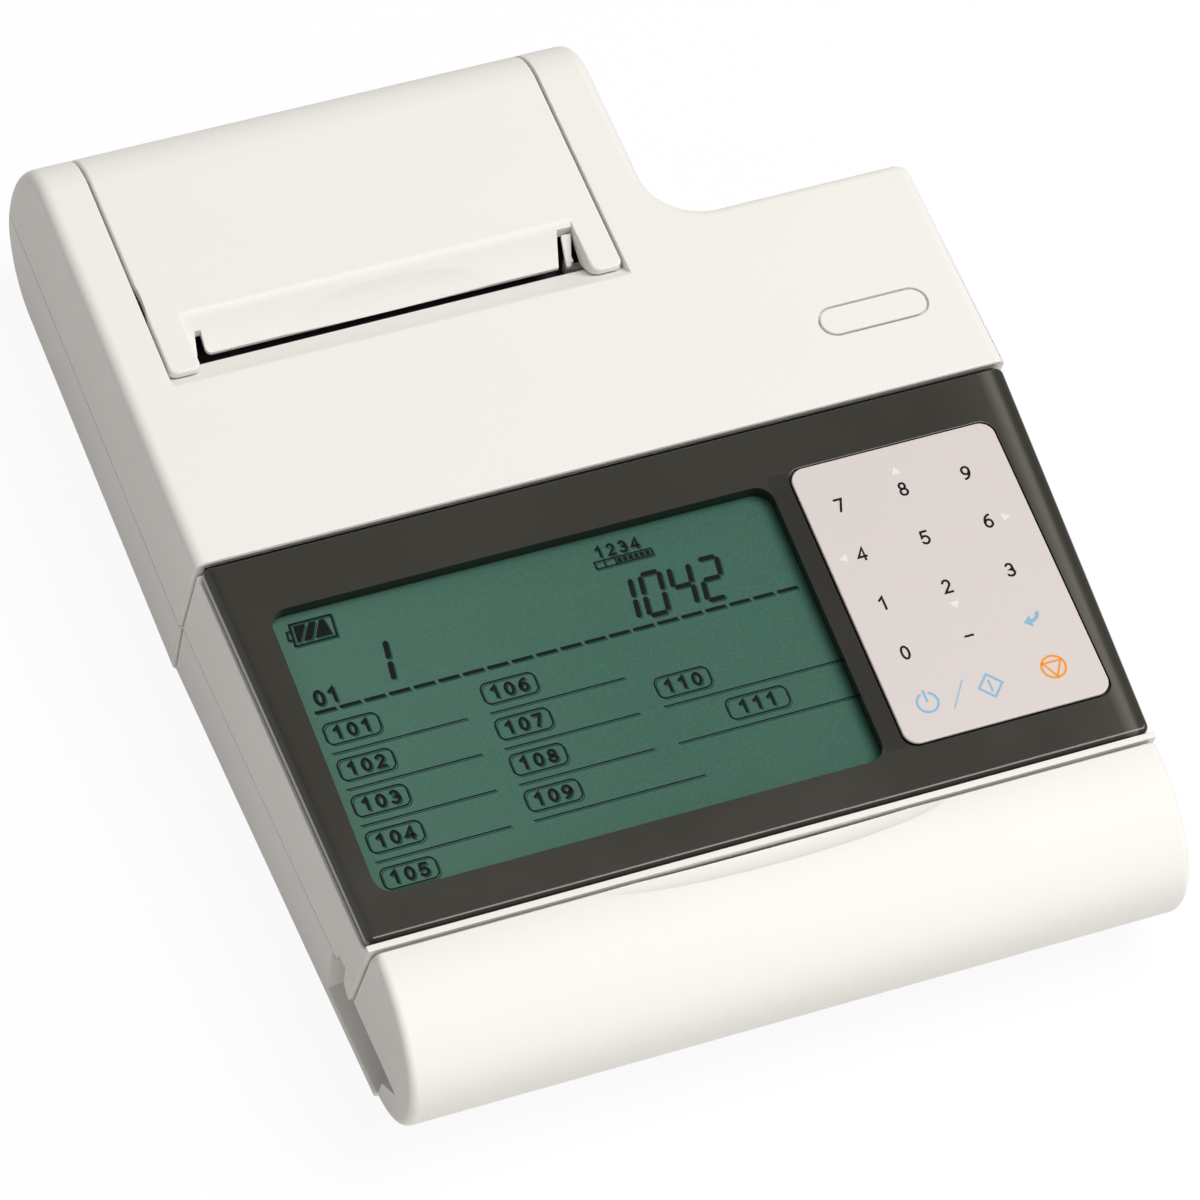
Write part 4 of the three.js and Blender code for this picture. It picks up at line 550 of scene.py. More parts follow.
def moulded(name, color, roughness=0.45, grain=0.05, scale=2200.0, shade=0.96, **settings):
    """Moulded plastic: fine grain, faint mottle in colour and gloss."""
    material, tree, shader, spot = new_material(name)
    texture = shared(tree, "Moulded grain", Vector=spot, Scale=scale)
    marks = shared(tree, "Handling", Vector=spot)
    tone = mixed(tree, texture.outputs["Mottle"], color, scaled(color, shade))
    tone = mixed(tree, product(tree, marks.outputs["Specks"], SPECK_SHARE), tone, scaled(color, SPECK_SHADE))
    tree.links.new(tone, shader.inputs["Base Color"])
    rough = math_node(tree, "MULTIPLY_ADD", marks.outputs["Cloud"], CLOUD_GLOSS, roughness)
    tree.links.new(rough, shader.inputs["Roughness"])
    relief(tree, shader, texture.outputs["Height"], grain, GRAIN_HEIGHT)
    set_inputs(shader, settings)
    return material


def brushed(name, color, roughness=0.32, stretch=(60.0, 2400.0, 2400.0)):
    """Brushed metal."""
    material, tree, shader, spot = new_material(name)
    texture = shared(tree, "Brushed metal", Vector=spot, Stretch=stretch)
    streaks = texture.outputs["Streaks"]
    tree.links.new(mixed(tree, streaks, color, scaled(color, STREAK_SHADE)), shader.inputs["Base Color"])
    rough = math_node(tree, "MULTIPLY_ADD", streaks, STREAK_GLOSS, roughness - STREAK_GLOSS / 2)
    tree.links.new(rough, shader.inputs["Roughness"])
    relief(tree, shader, texture.outputs["Height"], STREAK_BUMP, STREAK_HEIGHT)
    set_inputs(shader, {"Metallic": 1.0})
    return material


# Rear body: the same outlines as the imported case, finely stepped and rounded
LOWER_CENTRE = (REAR_EDGE - BOTTOM_RADIUS, REAR_BOTTOM + BOTTOM_RADIUS)
TOP_RISE = BODY_TOP - TOP_RADIUS - LOWER_CENTRE[1]
UPPER_CENTRE = (LOWER_CENTRE[0]
                + (BOTTOM_RADIUS - TOP_RADIUS - TOP_RISE * math.sin(LEAN)) / math.cos(LEAN),
                BODY_TOP - TOP_RADIUS)


def tower_back_at(height):
    """How far back the leaning rear face lies at a height."""
    return LOWER_CENTRE[0] + (BOTTOM_RADIUS - (height - LOWER_CENTRE[1]) * math.sin(LEAN)) / math.cos(LEAN)


HINGE_Y = tower_back_at(HINGE_HEIGHT) - KNUCKLE_RADIUS


def back_arc():
    """Centre and end angles of the wide arc that joins the tower's belly to its rounded top."""
    belly, top = Vector(LOWER_CENTRE), Vector(UPPER_CENTRE)
    span = top - belly
    near, far = BACK_RADIUS - BOTTOM_RADIUS, BACK_RADIUS - TOP_RADIUS
    along = (near ** 2 - far ** 2 + span.length ** 2) / (2 * span.length)
    across = Vector((-span.y, span.x)).normalized() * math.sqrt(near ** 2 - along ** 2)
    centre = min((belly + span.normalized() * along + sign * across for sign in (-1, 1)),
                 key=lambda spot: spot.x)
    return centre, [math.degrees(math.atan2(*(spot - centre).yx)) for spot in (belly, top)]


BACK_RADIUS = 30.0
BACK_CENTRE, BACK_TURNS = back_arc()


def tower_back(inset):
    """The tower's belly, back and rounded top seen from the side, drawn in by a wall."""
    return [*arc(*LOWER_CENTRE, BOTTOM_RADIUS - inset, -90, BACK_TURNS[0]),
            *arc(*BACK_CENTRE, BACK_RADIUS - inset, *BACK_TURNS, ARC_STEPS // 2)[1:-1],
            *arc(*UPPER_CENTRE, TOP_RADIUS - inset, BACK_TURNS[1], 90)]


def tower_profile(inset, front):
    """The rear body seen from the side, drawn in by a wall."""
    return [(front + SEAM_FOOT, REAR_BOTTOM + inset), *tower_back(inset), (front, BODY_TOP - inset),
            (front + SEAM_MID, REAR_SPLIT)]


def rear_plan(inset):
    """The rear body from above: a wide part, and the tower on its left."""
    side, tower, part = REAR_HALF - inset, TOWER_RIGHT - inset, RIGHT_PART_BACK - inset
    corner = INNER_CORNER + inset
    front, back = REAR_FRONT - OVERRUN, REAR_EDGE + OVERRUN
    return [(-side, front), (side, front),
            *arc(side - CASE_FILLET, part - CASE_FILLET, CASE_FILLET, 0, 90, FILLET_STEPS),
            *arc(tower + corner, part + corner, corner, 270, 180, ARC_STEPS), (tower, back), (-side, back)]


def rear_solid(inset, front):
    """The whole rear body as one solid, drawn in by a wall."""
    side = prism(tower_profile(inset, front), "X", -REAR_HALF - 1, REAR_HALF + 1)
    return common(side, prism(rear_plan(inset), "Z", REAR_BOTTOM - OVERRUN, BODY_TOP + OVERRUN))


def rear_outer():
    """The rear body with its rounded upper edges, its lower ones and the tower's sides."""
    solid = tidy_faces(rear_solid(0, REAR_FRONT))

    def on_rim(edge, middle):
        start, end = (vert.co for vert in edge.verts)
        level = any(max(abs(start.z - height), abs(end.z - height)) < ON_EDGE / 2
                    for height in (BODY_TOP, REAR_BOTTOM))
        at_side = abs(middle.x + REAR_HALF) < ON_EDGE or (abs(middle.x - TOWER_RIGHT) < ON_EDGE
                                                          and middle.y > RIGHT_PART_BACK + INNER_CORNER)
        crosswise = abs((start - end).normalized().x) > 0.9
        at_seam = level and crosswise and middle.y < SEAM_FOOT + 0.1
        return (level or at_side) and middle.y > SEAM_FOOT and not at_seam
    return round_off(solid, [edge for edge, middle in sharp_edges(solid) if on_rim(edge, middle)], RIM_FILLET,
                     RIM_STEPS)


def below(height):
    """All space under a height."""
    return block(-2 * REAR_HALF, 2 * REAR_HALF, -2 * REAR_EDGE, 2 * REAR_EDGE, -2 * OVERRUN, height)


def above(height):
    """All space over a height."""
    return block(-2 * REAR_HALF, 2 * REAR_HALF, -2 * REAR_EDGE, 2 * REAR_EDGE, height, BODY_TOP + 2 * OVERRUN)


SILL_TOP = HINGE_HEIGHT - KNUCKLE_RADIUS - SEAT
SCREW_PLACES = [(-REAR_HALF + 4.0, 50.0), (TOWER_RIGHT - 4.0, 50.0)]
SCREW_BORE = 1.7
SCREW_REACH = REAR_BOTTOM + 14.2
SCREW_HEAD = (2.9, REAR_BOTTOM + 1.9)
FOOT_RECESS = 0.8
DOOR_RECESS = WALL - 0.6
RIB_HEIGHT = 5.6
BOSS_RADIUS = 3.0
INLET_SPAN = cad_span("power_inlet")
PORT_SPAN = cad_span("data_port")
SOCKET_WALL = (RIGHT_PART_BACK - OVERRUN, RIGHT_PART_BACK + OVERRUN)
SHELF_TOP = BODY_TOP - WALL / 2


def pill(margin, low, high, steps=16):
    """The inlay's long round outline, with a margin around it."""
    half_length = (INLAY_HIGH.x - INLAY_LOW.x) / 2 + margin
    half_width = (INLAY_HIGH.y - INLAY_LOW.y) / 2 + margin
    x, y = cad_middle("oval_inlay", "xy")
    return prism(rounded(x - half_length, x + half_length, y - half_width, y + half_width, half_width * 0.99,
                         steps), "Z", low, high)


def knuckle(index, toward):
    """One barrel of the cover's hinge, on an arm to its own part."""
    span = (BAY_RIGHT - BAY_LEFT) / KNUCKLE_COUNT
    left, right = BAY_LEFT + index * span + SEAT, BAY_LEFT + (index + 1) * span - SEAT
    reach = toward * (KNUCKLE_RADIUS + 2 * SEAT)
    arm = block(left, right, HINGE_Y - KNUCKLE_RADIUS, HINGE_Y + KNUCKLE_RADIUS / 2,
                HINGE_HEIGHT + min(0, reach), HINGE_HEIGHT + max(0, reach))
    return joined(rod("X", (HINGE_Y, HINGE_HEIGHT), KNUCKLE_RADIUS, left, right), arm)


def knuckles(of_case, toward):
    """Every second barrel of the hinge, bored for the pin."""
    whole = joined(*(knuckle(index, toward) for index in range(KNUCKLE_COUNT) if (index % 2 == 0) == of_case))
    return cut(whole, rod("X", (HINGE_Y, HINGE_HEIGHT), PIN_RADIUS + SEAT, BAY_LEFT - OVERRUN,
                          BAY_RIGHT + OVERRUN))


def bay_opening():
    """The printer cover's opening, and the ledge that slopes to the paper slot."""
    return prism([(POCKET_FRONT, BODY_TOP), (SLOT_FRONT, SLOT_HEIGHT), (SLOT_FRONT, SILL_TOP),
                  (REAR_EDGE + OVERRUN, SILL_TOP), (REAR_EDGE + OVERRUN, BODY_TOP + OVERRUN),
                  (POCKET_FRONT, BODY_TOP + OVERRUN)], "X", BAY_LEFT, BAY_RIGHT)


def screw_rods(radius, low, high):
    """A rod at the place of each case screw."""
    return [rod("Z", spot, radius, low, high) for spot in SCREW_PLACES]


def rear_upper_shell():
    """Rear upper case: rounded top, pocket with its ledge, cheek walls, bosses, hinge and socket holes."""
    inlet = block(INLET_SPAN[0] - SEAT, INLET_SPAN[1] + SEAT, *SOCKET_WALL, INLET_SPAN[4] - SEAT,
                  INLET_SPAN[5] + SEAT)
    port = rod("Y", cad_middle("data_port", "xz"), (PORT_SPAN[1] - PORT_SPAN[0]) / 2 + SEAT, *SOCKET_WALL,
               ROUND_STEPS)
    outer = tidy_faces(cut(common(rear_outer(), above(REAR_SPLIT)), bay_opening(),
                           pill(SEAT, INLAY_LOW.z - SEAT, BODY_TOP + OVERRUN), inlet, port))

    def on_top(spot):
        inlay_floor = abs(spot.z - INLAY_LOW.z + SEAT) < ON_OUTLINE and spot.x > INLAY_LOW.x - 1
        in_bay = spot.y > SLOT_FRONT - 0.2 and spot.z < SLOT_HEIGHT - 0.2 and BAY_LEFT < spot.x < BAY_RIGHT
        return spot.z > max(REAR_SPLIT - 1, SILL_TOP + 0.1) and not inlay_floor and not in_bay
    beveled(outer, CASE_EDGE, 2, on_top)
    cavity = rear_solid(WALL, REAR_FRONT - 2 * OVERRUN)
    ledge = prism([(POCKET_FRONT, BODY_TOP + 1), (POCKET_FRONT - WALL, BODY_TOP + 1),
                   (POCKET_FRONT - WALL, SHELF_TOP),
                   (SLOT_FRONT - WALL, SLOT_HEIGHT - WALL), (SLOT_FRONT + 1, SLOT_HEIGHT - WALL),
                   (SLOT_FRONT + 1, BODY_TOP + 1)], "X", BAY_LEFT - RIB / 2, BAY_RIGHT + RIB / 2)
    cheek_back = tower_back_at(HINGE_HEIGHT) + OVERRUN
    for left, right in ((BAY_LEFT - RIB, BAY_LEFT + 1), (BAY_RIGHT - 1, BAY_RIGHT + RIB)):
        cavity = cut(cavity, block(left, right, POCKET_FRONT - WALL, cheek_back, BATTERY_CLEAR, BODY_TOP))
    cavity = cut(cavity, ledge, *screw_rods(BOSS_RADIUS, REAR_SPLIT - 1, BODY_TOP))
    shell = cut(outer, cavity, *screw_rods(SCREW_BORE, 0, SCREW_REACH))
    return joined(shell, knuckles(True, -1))


def foot_pockets(indexes, bottom):
    """The recesses that hold the rubber feet."""
    for node in (f"foot_{index}" for index in indexes):
        low, high = cad_box(node)
        yield rod("Z", cad_middle(node, "xy"), (high.x - low.x) / 2 + SEAT, 0, bottom + FOOT_RECESS,
                  ROUND_STEPS)


def rear_lower_shell():
    """Rear lower case: rounded belly, battery compartment, bosses, door hole, feet and screw recesses."""
    outer = tidy_faces(common(rear_outer(), below(REAR_SPLIT - SEAT)))
    left, right, front, back = DOOR_SPAN[:4]
    door = rounded(left - SEAM, right + SEAM, front - SEAM, back + SEAM, CASE_FILLET)
    head, head_top = SCREW_HEAD
    outer = tidy_faces(cut(outer, prism(door, "Z", 0, REAR_BOTTOM + DOOR_RECESS),
                           *foot_pockets((1, 2), REAR_BOTTOM), *screw_rods(head, 0, head_top)))
    beveled(outer, BELLY_EDGE, 2, lambda spot: spot.z < REAR_BOTTOM + 0.1 and abs(spot.x) < REAR_HALF - 2)
    cavity = rear_solid(WALL, REAR_FRONT - 2 * OVERRUN)
    floor = REAR_BOTTOM + WALL
    left, right, front, back = COMPARTMENT
    ribs = cut(block(left - RIB, right + RIB, front - RIB, back + RIB, floor - 1, floor + RIB_HEIGHT),
               block(left, right, front, back, 0, floor + OVERRUN + RIB_HEIGHT))
    cavity = cut(cavity, ribs, *screw_rods(BOSS_RADIUS, 0, REAR_SPLIT + 1))
    return cut(outer, cavity, prism(door, "Z", 0, floor + 1), *screw_rods(SCREW_BORE, 0, REAR_SPLIT + 1))


DOOR_SPAN = cad_span("battery_door")
CELL_LOW, CELL_HIGH = cad_box("battery_1")[0], cad_box("battery_4")[1]
CONTACT_HIGH = cad_box("battery_contact_right")[1]
COMPARTMENT = (-CONTACT_HIGH.x - SEAT, CONTACT_HIGH.x + SEAT, CELL_LOW.y - SEAT, CELL_HIGH.y + SEAT)


# Printer cover: a bent roof, a sloped flap over the slot, two prongs and its hinge barrels
def ledge_height(y):
    """Height of the ledge that slopes down to the slot."""
    return BODY_TOP - (y - POCKET_FRONT) * (BODY_TOP - SLOT_HEIGHT) / (SLOT_FRONT - POCKET_FRONT)


FLAP_LIP = 0.55
PRONG_ROUNDING = 1.4
FLAP_CORNER = 0.9
NOTCH_OUTLINE = ((7.0, SLOT_FRONT - SLOT_WIDTH), (DOOR_HIGH.x - PRONG_WIDTH, SLOT_FRONT - SLOT_WIDTH),
                 (DOOR_HIGH.x - PRONG_WIDTH, 42.3), (8.1, 42.3), (7.0, SLOT_BACK))
SLIT_PLACES = (0.7, 1.5, 2.5)
SLIT_DEPTH = 3.05
FLAP_DISH = (16.5, 4.8, 0.4)
FLAP_DISH_FOOT = (-20.0, SLOT_BACK + 0.017, SLOT_HEIGHT)
SEAM_GRIP = (DOOR_LOW.x, 43.6, 51.2, 0.34)


def dish(foot, turn, half_length, half_width, depth):
    """A long flat ellipsoid that cuts a shallow lens into a face through a point."""
    lift = depth * DISH_LIFT
    thick = lift + depth
    share = math.sqrt(1 - (lift / thick) ** 2)
    bm = bmesh.new()
    bmesh.ops.create_uvsphere(bm, u_segments=96, v_segments=48, radius=1)
    bmesh.ops.scale(bm, verts=bm.verts, vec=(half_length / share, half_width / share, thick))
    return moved(bm, Matrix.Translation(Vector(foot) + turn @ Vector((0, 0, lift))) @ turn)


DISH_LIFT = 2.9


def back_at(height, inset):
    """How far back the tower's wide arc lies at a height, drawn in by a wall."""
    return BACK_CENTRE.x + math.sqrt((BACK_RADIUS - inset) ** 2 - (height - BACK_CENTRE.y) ** 2)


def cover_back(inset):
    """The cover's roof and tail seen from the side, drawn in by a wall."""
    tail = HINGE_HEIGHT + KNUCKLE_RADIUS + SEAT
    return [(back_at(tail, inset), tail), *((y, z) for y, z in tower_back(inset) if z > tail + SEAT)]


def printer_cover_shell():
    """The whole cover, with the finger scoop in its flap."""
    left, right = DOOR_LOW.x, DOOR_HIGH.x
    foot = ledge_height(PRONG_END) + SEAM
    cover = prism([*cover_back(0), (PRONG_END, BODY_TOP), (PRONG_END, foot), (SLOT_FRONT, SLOT_HEIGHT + SEAM),
                   (SLOT_BACK, SLOT_HEIGHT - FLAP_LIP), (FLAP_TOP + WALL / 2, BODY_TOP - WALL),
                   *reversed(cover_back(WALL))], "X", left, right)
    inner_left, inner_right = left + PRONG_WIDTH, right - PRONG_WIDTH
    facet = Vector((FLAP_TOP - SLOT_BACK, BODY_TOP - SLOT_HEIGHT))
    beyond = (FLAP_TOP + facet.x, BODY_TOP + facet.y)
    between = prism([beyond, (SLOT_BACK, SLOT_HEIGHT), (SLOT_BACK, SLOT_HEIGHT - OVERRUN),
                     (PRONG_END - 1, SLOT_HEIGHT - OVERRUN), (PRONG_END - 1, beyond[1])], "X", inner_left,
                    inner_right)
    depth_range = (SLOT_HEIGHT - OVERRUN, BODY_TOP + OVERRUN)
    slit_foot, slit_left, slit_right = (inner_left + reach for reach in SLIT_PLACES)
    slit_back = SLOT_BACK + SLIT_DEPTH
    slit = prism([(slit_foot, SLOT_FRONT - 1), (slit_right + FLAP_CORNER, SLOT_FRONT - 1),
                  *arc(slit_right + FLAP_CORNER, SLOT_BACK + FLAP_CORNER, FLAP_CORNER, 270, 180, 6),
                  (slit_right, slit_back), (slit_left, slit_back)], "Z", *depth_range)
    plan = joined(block(left - 1, right + 1, SLOT_BACK - SEAT, REAR_EDGE + 1, 0, BODY_TOP + 1),
                  *(prism(rounded(x, x + PRONG_WIDTH, PRONG_END, FLAP_TOP, PRONG_ROUNDING), "Z", 0,
                          BODY_TOP + 1) for x in (left, inner_right)))
    cover = common(cut(cover, between, prism(NOTCH_OUTLINE, "Z", *depth_range), slit), plan)
    tidy_faces(cover)
    on_back = on_outline(cover_back(0))
    beveled(cover, COVER_EDGE, 4, lambda spot: spot.z > BODY_TOP - ON_EDGE
            or (min(abs(spot.x - left), abs(spot.x - right)) < ON_EDGE and on_back(spot)))
    x, low, high, depth = SEAM_GRIP
    radius = ((high - low) ** 2 / 4 + depth ** 2) / (2 * depth)
    grip = rod("Z", (x + depth - radius, (low + high) / 2), radius, BODY_TOP - 2 * WALL, BODY_TOP + 1, 256)
    turn = Matrix.Rotation(math.atan2(facet.y, facet.x), 4, "X")
    cover = cut(cover, dish(FLAP_DISH_FOOT, turn, *FLAP_DISH), grip)
    return joined(cover, knuckles(False, 1))


# What shows in the paper slot: the printer's two frame plates and the pale guide tab between them
FRAME_LOW, FRAME_HIGH = cad_box("printer_frame")
ROLL_AXIS = cad_middle("paper_roll", "yz")
PLATEN_AXIS = cad_middle("platen_gear", "yz")
MOTOR_AXIS = cad_middle("printer_motor_gear", "yz")
SHAFT_REST = 3.2
PLATEN_BORE = 1.8
MOTOR_BORE = 1.3
PLATEN_RADIUS = 4.2
PLATE_THICK = 1.5
PLATE_FRONT = 38.1
PLATE_TOP = PLATEN_AXIS[1] + 3.0
PLATE_SHELF = 21.0
TAB_TOP = ((8.3, 37.75, 32.2), (9.1, 37.65, 32.2), (10.3, 41.7, 34.75), (8.7, 41.85, 34.75))
TAB_THICK = 0.9
TAB_STEM = (8.5, 9.6, 33.0 - TAB_THICK / 2)
TAB_STEM_DEPTH = (38.2, 39.4)
TAB_ARM = (1.2, 2.2)


def printer_frame_plates():
    """The two side plates on their floor, notched for the roll's shaft and bored for platen and motor."""
    low, high = FRAME_LOW, FRAME_HIGH
    side = [(PLATE_FRONT, low.z), (high.y, low.z), (high.y, ROLL_AXIS[1] + SHAFT_REST),
            (PLATEN_AXIS[0] + PLATEN_RADIUS, PLATE_TOP), (low.y, PLATE_TOP), (low.y, PLATE_SHELF),
            (PLATE_FRONT, PLATE_SHELF)]
    floor = block(low.x + PLATE_THICK / 2, high.x - PLATE_THICK / 2, PLATE_FRONT, high.y, low.z,
                  low.z + PLATE_THICK)
    plates = [prism(side, "X", left, right)
              for left, right in ((low.x, low.x + PLATE_THICK), (high.x - PLATE_THICK, high.x))]
    frame = tidy_faces(joined(*plates, floor))
    beveled(frame, PLATE_EDGE, 2, lambda spot: spot.z > low.z + PLATE_THICK + 1)
    notch = SHAFT_REST + SEAT
    ends = (low.x - OVERRUN, high.x + OVERRUN)
    return cut(frame, rod("X", ROLL_AXIS, notch, *ends, ROUND_STEPS),
               block(*ends, ROLL_AXIS[0] - notch, ROLL_AXIS[0] + notch, ROLL_AXIS[1], BODY_TOP),
               rod("X", PLATEN_AXIS, PLATEN_BORE, *ends),
               rod("X", MOTOR_AXIS, MOTOR_BORE, high.x - 2 * PLATE_THICK, ends[1]))


def guide_tab():
    """The pale sloped tab in the cover's notch, on a stem and an arm that reaches the frame's right plate."""
    bm = bmesh.new()
    upper = [bm.verts.new(corner) for corner in TAB_TOP]
    lower = [bm.verts.new((x, y, z - TAB_THICK)) for x, y, z in TAB_TOP]
    bm.faces.new(upper)
    bm.faces.new(reversed(lower))
    for index in range(4):
        bm.faces.new((upper[index - 1], upper[index], lower[index], lower[index - 1]))
    bmesh.ops.recalc_face_normals(bm, faces=bm.faces)
    beveled(bm, TAB_EDGE, 2, lambda spot: True)
    (stem_left, stem_right, stem_top), depth = TAB_STEM, TAB_STEM_DEPTH
    arm_low, arm_high = (PLATE_TOP + rise for rise in TAB_ARM)
    right = FRAME_HIGH.x
    return joined(bm, block(stem_left, stem_right, *depth, arm_low, stem_top),
                  block(stem_left + 0.5, right, *depth, arm_low, arm_high),
                  block(right - PLATE_THICK, right, *depth, PLATE_TOP - SEAT / 3, arm_high))


# Front body: tapered in plan, under the tilted panel
DECK_TOP = PANEL_THICK + SEAT
DECK_CUT = 9
KEY_FRAME = 1.6
GUARD_SINK = 0.8
SHELF_CLEAR = 0.6
SHELF_SETBACK = 2.2
SHELF_THICK = 1.2
SCOOP_FOOT = (0.3, 0.013)
SCOOP = (21.3, 2.7, 0.75)
PANEL_FRONT = PANEL_BACK - PANEL_DEPTH * math.cos(PANEL_TILT)
LIP_BACK = PANEL_FRONT - SEAT
LIP_FRONT = LIP_BACK - LIP_THICK
FOOT_BACK = REAR_FRONT - SEAM + SEAM_FOOT
COVER_LIP_Y = LIP_FRONT - SEAM


def panel_height(y, depth=0.0):
    """Height of the panel's plane at a place, lowered by a depth square to it."""
    return PANEL_BACK_HEIGHT - (PANEL_BACK - y) * math.tan(PANEL_TILT) - depth / math.cos(PANEL_TILT)


COVER_LIP_HEIGHT = panel_height(PANEL_FRONT) - SEAM


def front_half_at(y):
    """Half the front body's width at a place."""
    return FRONT_HALF_BACK + (y - PANEL_BACK) * PANEL_TAPER / PANEL_DEPTH


def front_plan(inset, back, front, low, high):
    """The front body's tapered plan, raised between two heights."""
    half_back, half_front = front_half_at(back) - inset, front_half_at(front) - inset
    return prism([(-half_back, back), (-half_front, front), (half_front, front), (half_back, back)], "Z",
                 low, high)


def seam_back(height):
    """The parting face towards the rear body, which leans forward at its top."""
    return REAR_FRONT - SEAM + SEAM_MID * (BODY_TOP - height) / (BODY_TOP - REAR_SPLIT)


def cheek_edge(height):
    """The drawer front's slanted rear edge."""
    tip, low = CHEEK_TIP
    return tip + (COVER_LIP_Y - tip) * (height - low) / (COVER_LIP_HEIGHT - low)


def in_panel(points, low, high):
    """An outline in the panel's plane, raised along its normal."""
    return moved(prism(points, "Z", low, high), TO_PANEL)


def front_upper_shell():
    """Front upper case: side walls, lip, deck with display and key openings, and hooks under the cheeks."""
    tip, low = CHEEK_TIP
    back_deck, front_deck = panel_height(PANEL_BACK, DECK_TOP), panel_height(LIP_FRONT, DECK_TOP)
    hook_y, hook_z = tip + HOOK_DEPTH / 2, FRONT_SPLIT + HOOK_HEIGHT / 2
    side = [(seam_back(back_deck), back_deck), (LIP_BACK, panel_height(LIP_BACK, DECK_TOP)),
            (LIP_BACK, panel_height(LIP_BACK)), (LIP_FRONT, panel_height(LIP_FRONT)),
            (cheek_edge(front_deck) + SEAM, front_deck), (tip + SEAM, low), (hook_y, low + HOOK_HEIGHT / 2),
            (hook_y, hook_z), (tip + HOOK_DEPTH, hook_z), (tip + HOOK_DEPTH + SEAM, FRONT_SPLIT),
            (seam_back(FRONT_SPLIT), FRONT_SPLIT)]
    tub = tidy_faces(common(prism(side, "X", -REAR_HALF, REAR_HALF),
                            front_plan(0, FOOT_BACK, LIP_FRONT - OVERRUN, 0, BODY_TOP)))
    beveled(tub, SIDE_EDGE, 2, lambda spot: True)
    deck_low = DECK_TOP + RIB
    core = common(front_plan(WALL, FOOT_BACK + OVERRUN, LIP_BACK + SEAT / 2, -OVERRUN, BODY_TOP),
                  in_panel([(-REAR_HALF, -2 * PANEL_DEPTH), (REAR_HALF, -2 * PANEL_DEPTH),
                            (REAR_HALF, PANEL_DEPTH), (-REAR_HALF, PANEL_DEPTH)], -2 * BODY_TOP, -deck_low))
    room = block(-COVER_HALF - SEAM, COVER_HALF + SEAM, LIP_FRONT - OVERRUN, LIP_BACK + SEAT / 2, -OVERRUN,
                 panel_height(LIP_FRONT) - FRONT_DROP)
    x0, x1, y0, y1 = WINDOW
    margin = LCD_MARGIN + SEAT
    display = in_panel(rounded(x0 - margin, x1 + margin, y0 - margin, y1 + margin, LCD_MARGIN), -DECK_CUT,
                       OVERRUN)
    x0, y0 = (edge + KEY_FRAME for edge in KEYPAD[::2])
    x1, y1 = (edge - KEY_FRAME for edge in KEYPAD[1::2])
    keys = in_panel([(x0, y0), (x1, y0), (x1, y1), (x0, y1)], -DECK_CUT, OVERRUN)
    return cut(tub, core, room, display, keys)


def front_lower_shell():
    """Front lower case: floor, low side walls, drawer guards, and recesses for the feet."""
    floor = FRONT_BOTTOM + FLOOR
    window = SIDE_WINDOW
    split = FRONT_SPLIT - SEAT
    side = [(FOOT_BACK, FRONT_BOTTOM), (seam_back(FRONT_SPLIT), split), (window, split),
            (window, floor), (FLOOR_LIP, floor), (FLOOR_LIP, FRONT_BOTTOM)]
    tub = tidy_faces(common(prism(side, "X", -REAR_HALF, REAR_HALF),
                            front_plan(0, FOOT_BACK, FLOOR_LIP, 0, BODY_TOP)))
    beveled(tub, TUB_EDGE, 2, lambda spot: True)
    tub = cut(tub, front_plan(WALL, FOOT_BACK + OVERRUN, FLOOR_LIP - OVERRUN, floor, BODY_TOP),
              *foot_pockets((3, 4), FRONT_BOTTOM))
    guard = front_half_at(FLOOR_LIP) - WALL - GRIP_DEPTH
    rise = (floor - GUARD_SINK, FRONT_SPLIT - SEAT)
    for sign in (-1, 1):
        tub = joined(tub, side_block(sign, guard - RIB, guard, FLOOR_LIP + RIB, window + WALL, *rise),
                     side_block(sign, guard - RIB, front_half_at(window) - WALL / 2, window, window + WALL,
                                *rise))
    pinion_low, pinion_high = cad_box("tray_pinion")
    motor_low, motor_high = cad_box("tray_motor")
    depth, top, wall = (motor_low.y, motor_high.y), motor_low.z - SEAT, pinion_high.x + SHELF_CLEAR
    shelf = joined(block(pinion_low.x + SHELF_SETBACK, wall + RIB, *depth, top - SHELF_THICK, top),
                   block(wall, wall + RIB, *depth, floor - GUARD_SINK, top))
    return joined(tub, cut(shelf, rod("Z", cad_middle("tray_pinion", "xy"), MOTOR_BORE, 0, BODY_TOP)))


# Drawer front: a curved band between two cheeks, scooped for a finger
def cover_curve(inset):
    """The band seen from the side, drawn in by a wall, from its foot over the nose to its crest."""
    low_radius, top_radius = NOSE_HEIGHT - COVER_BOTTOM, COVER_TOP - NOSE_HEIGHT
    low_centre, top_centre = COVER_NOSE + low_radius, COVER_LIP_Y - CREST_FLAT
    foot = 180 + math.degrees(math.acos((low_centre - LOWER_BACK) / low_radius))
    low = [(low_centre + a * (low_radius - inset), NOSE_HEIGHT + b * (low_radius - inset))
           for a, b in arc(0, 0, 1, foot, 180)]
    top = [(top_centre + a * (top_centre - COVER_NOSE - inset), NOSE_HEIGHT + b * (top_radius - inset))
           for a, b in arc(0, 0, 1, 180, 90, 28)[1:]]
    return low + top


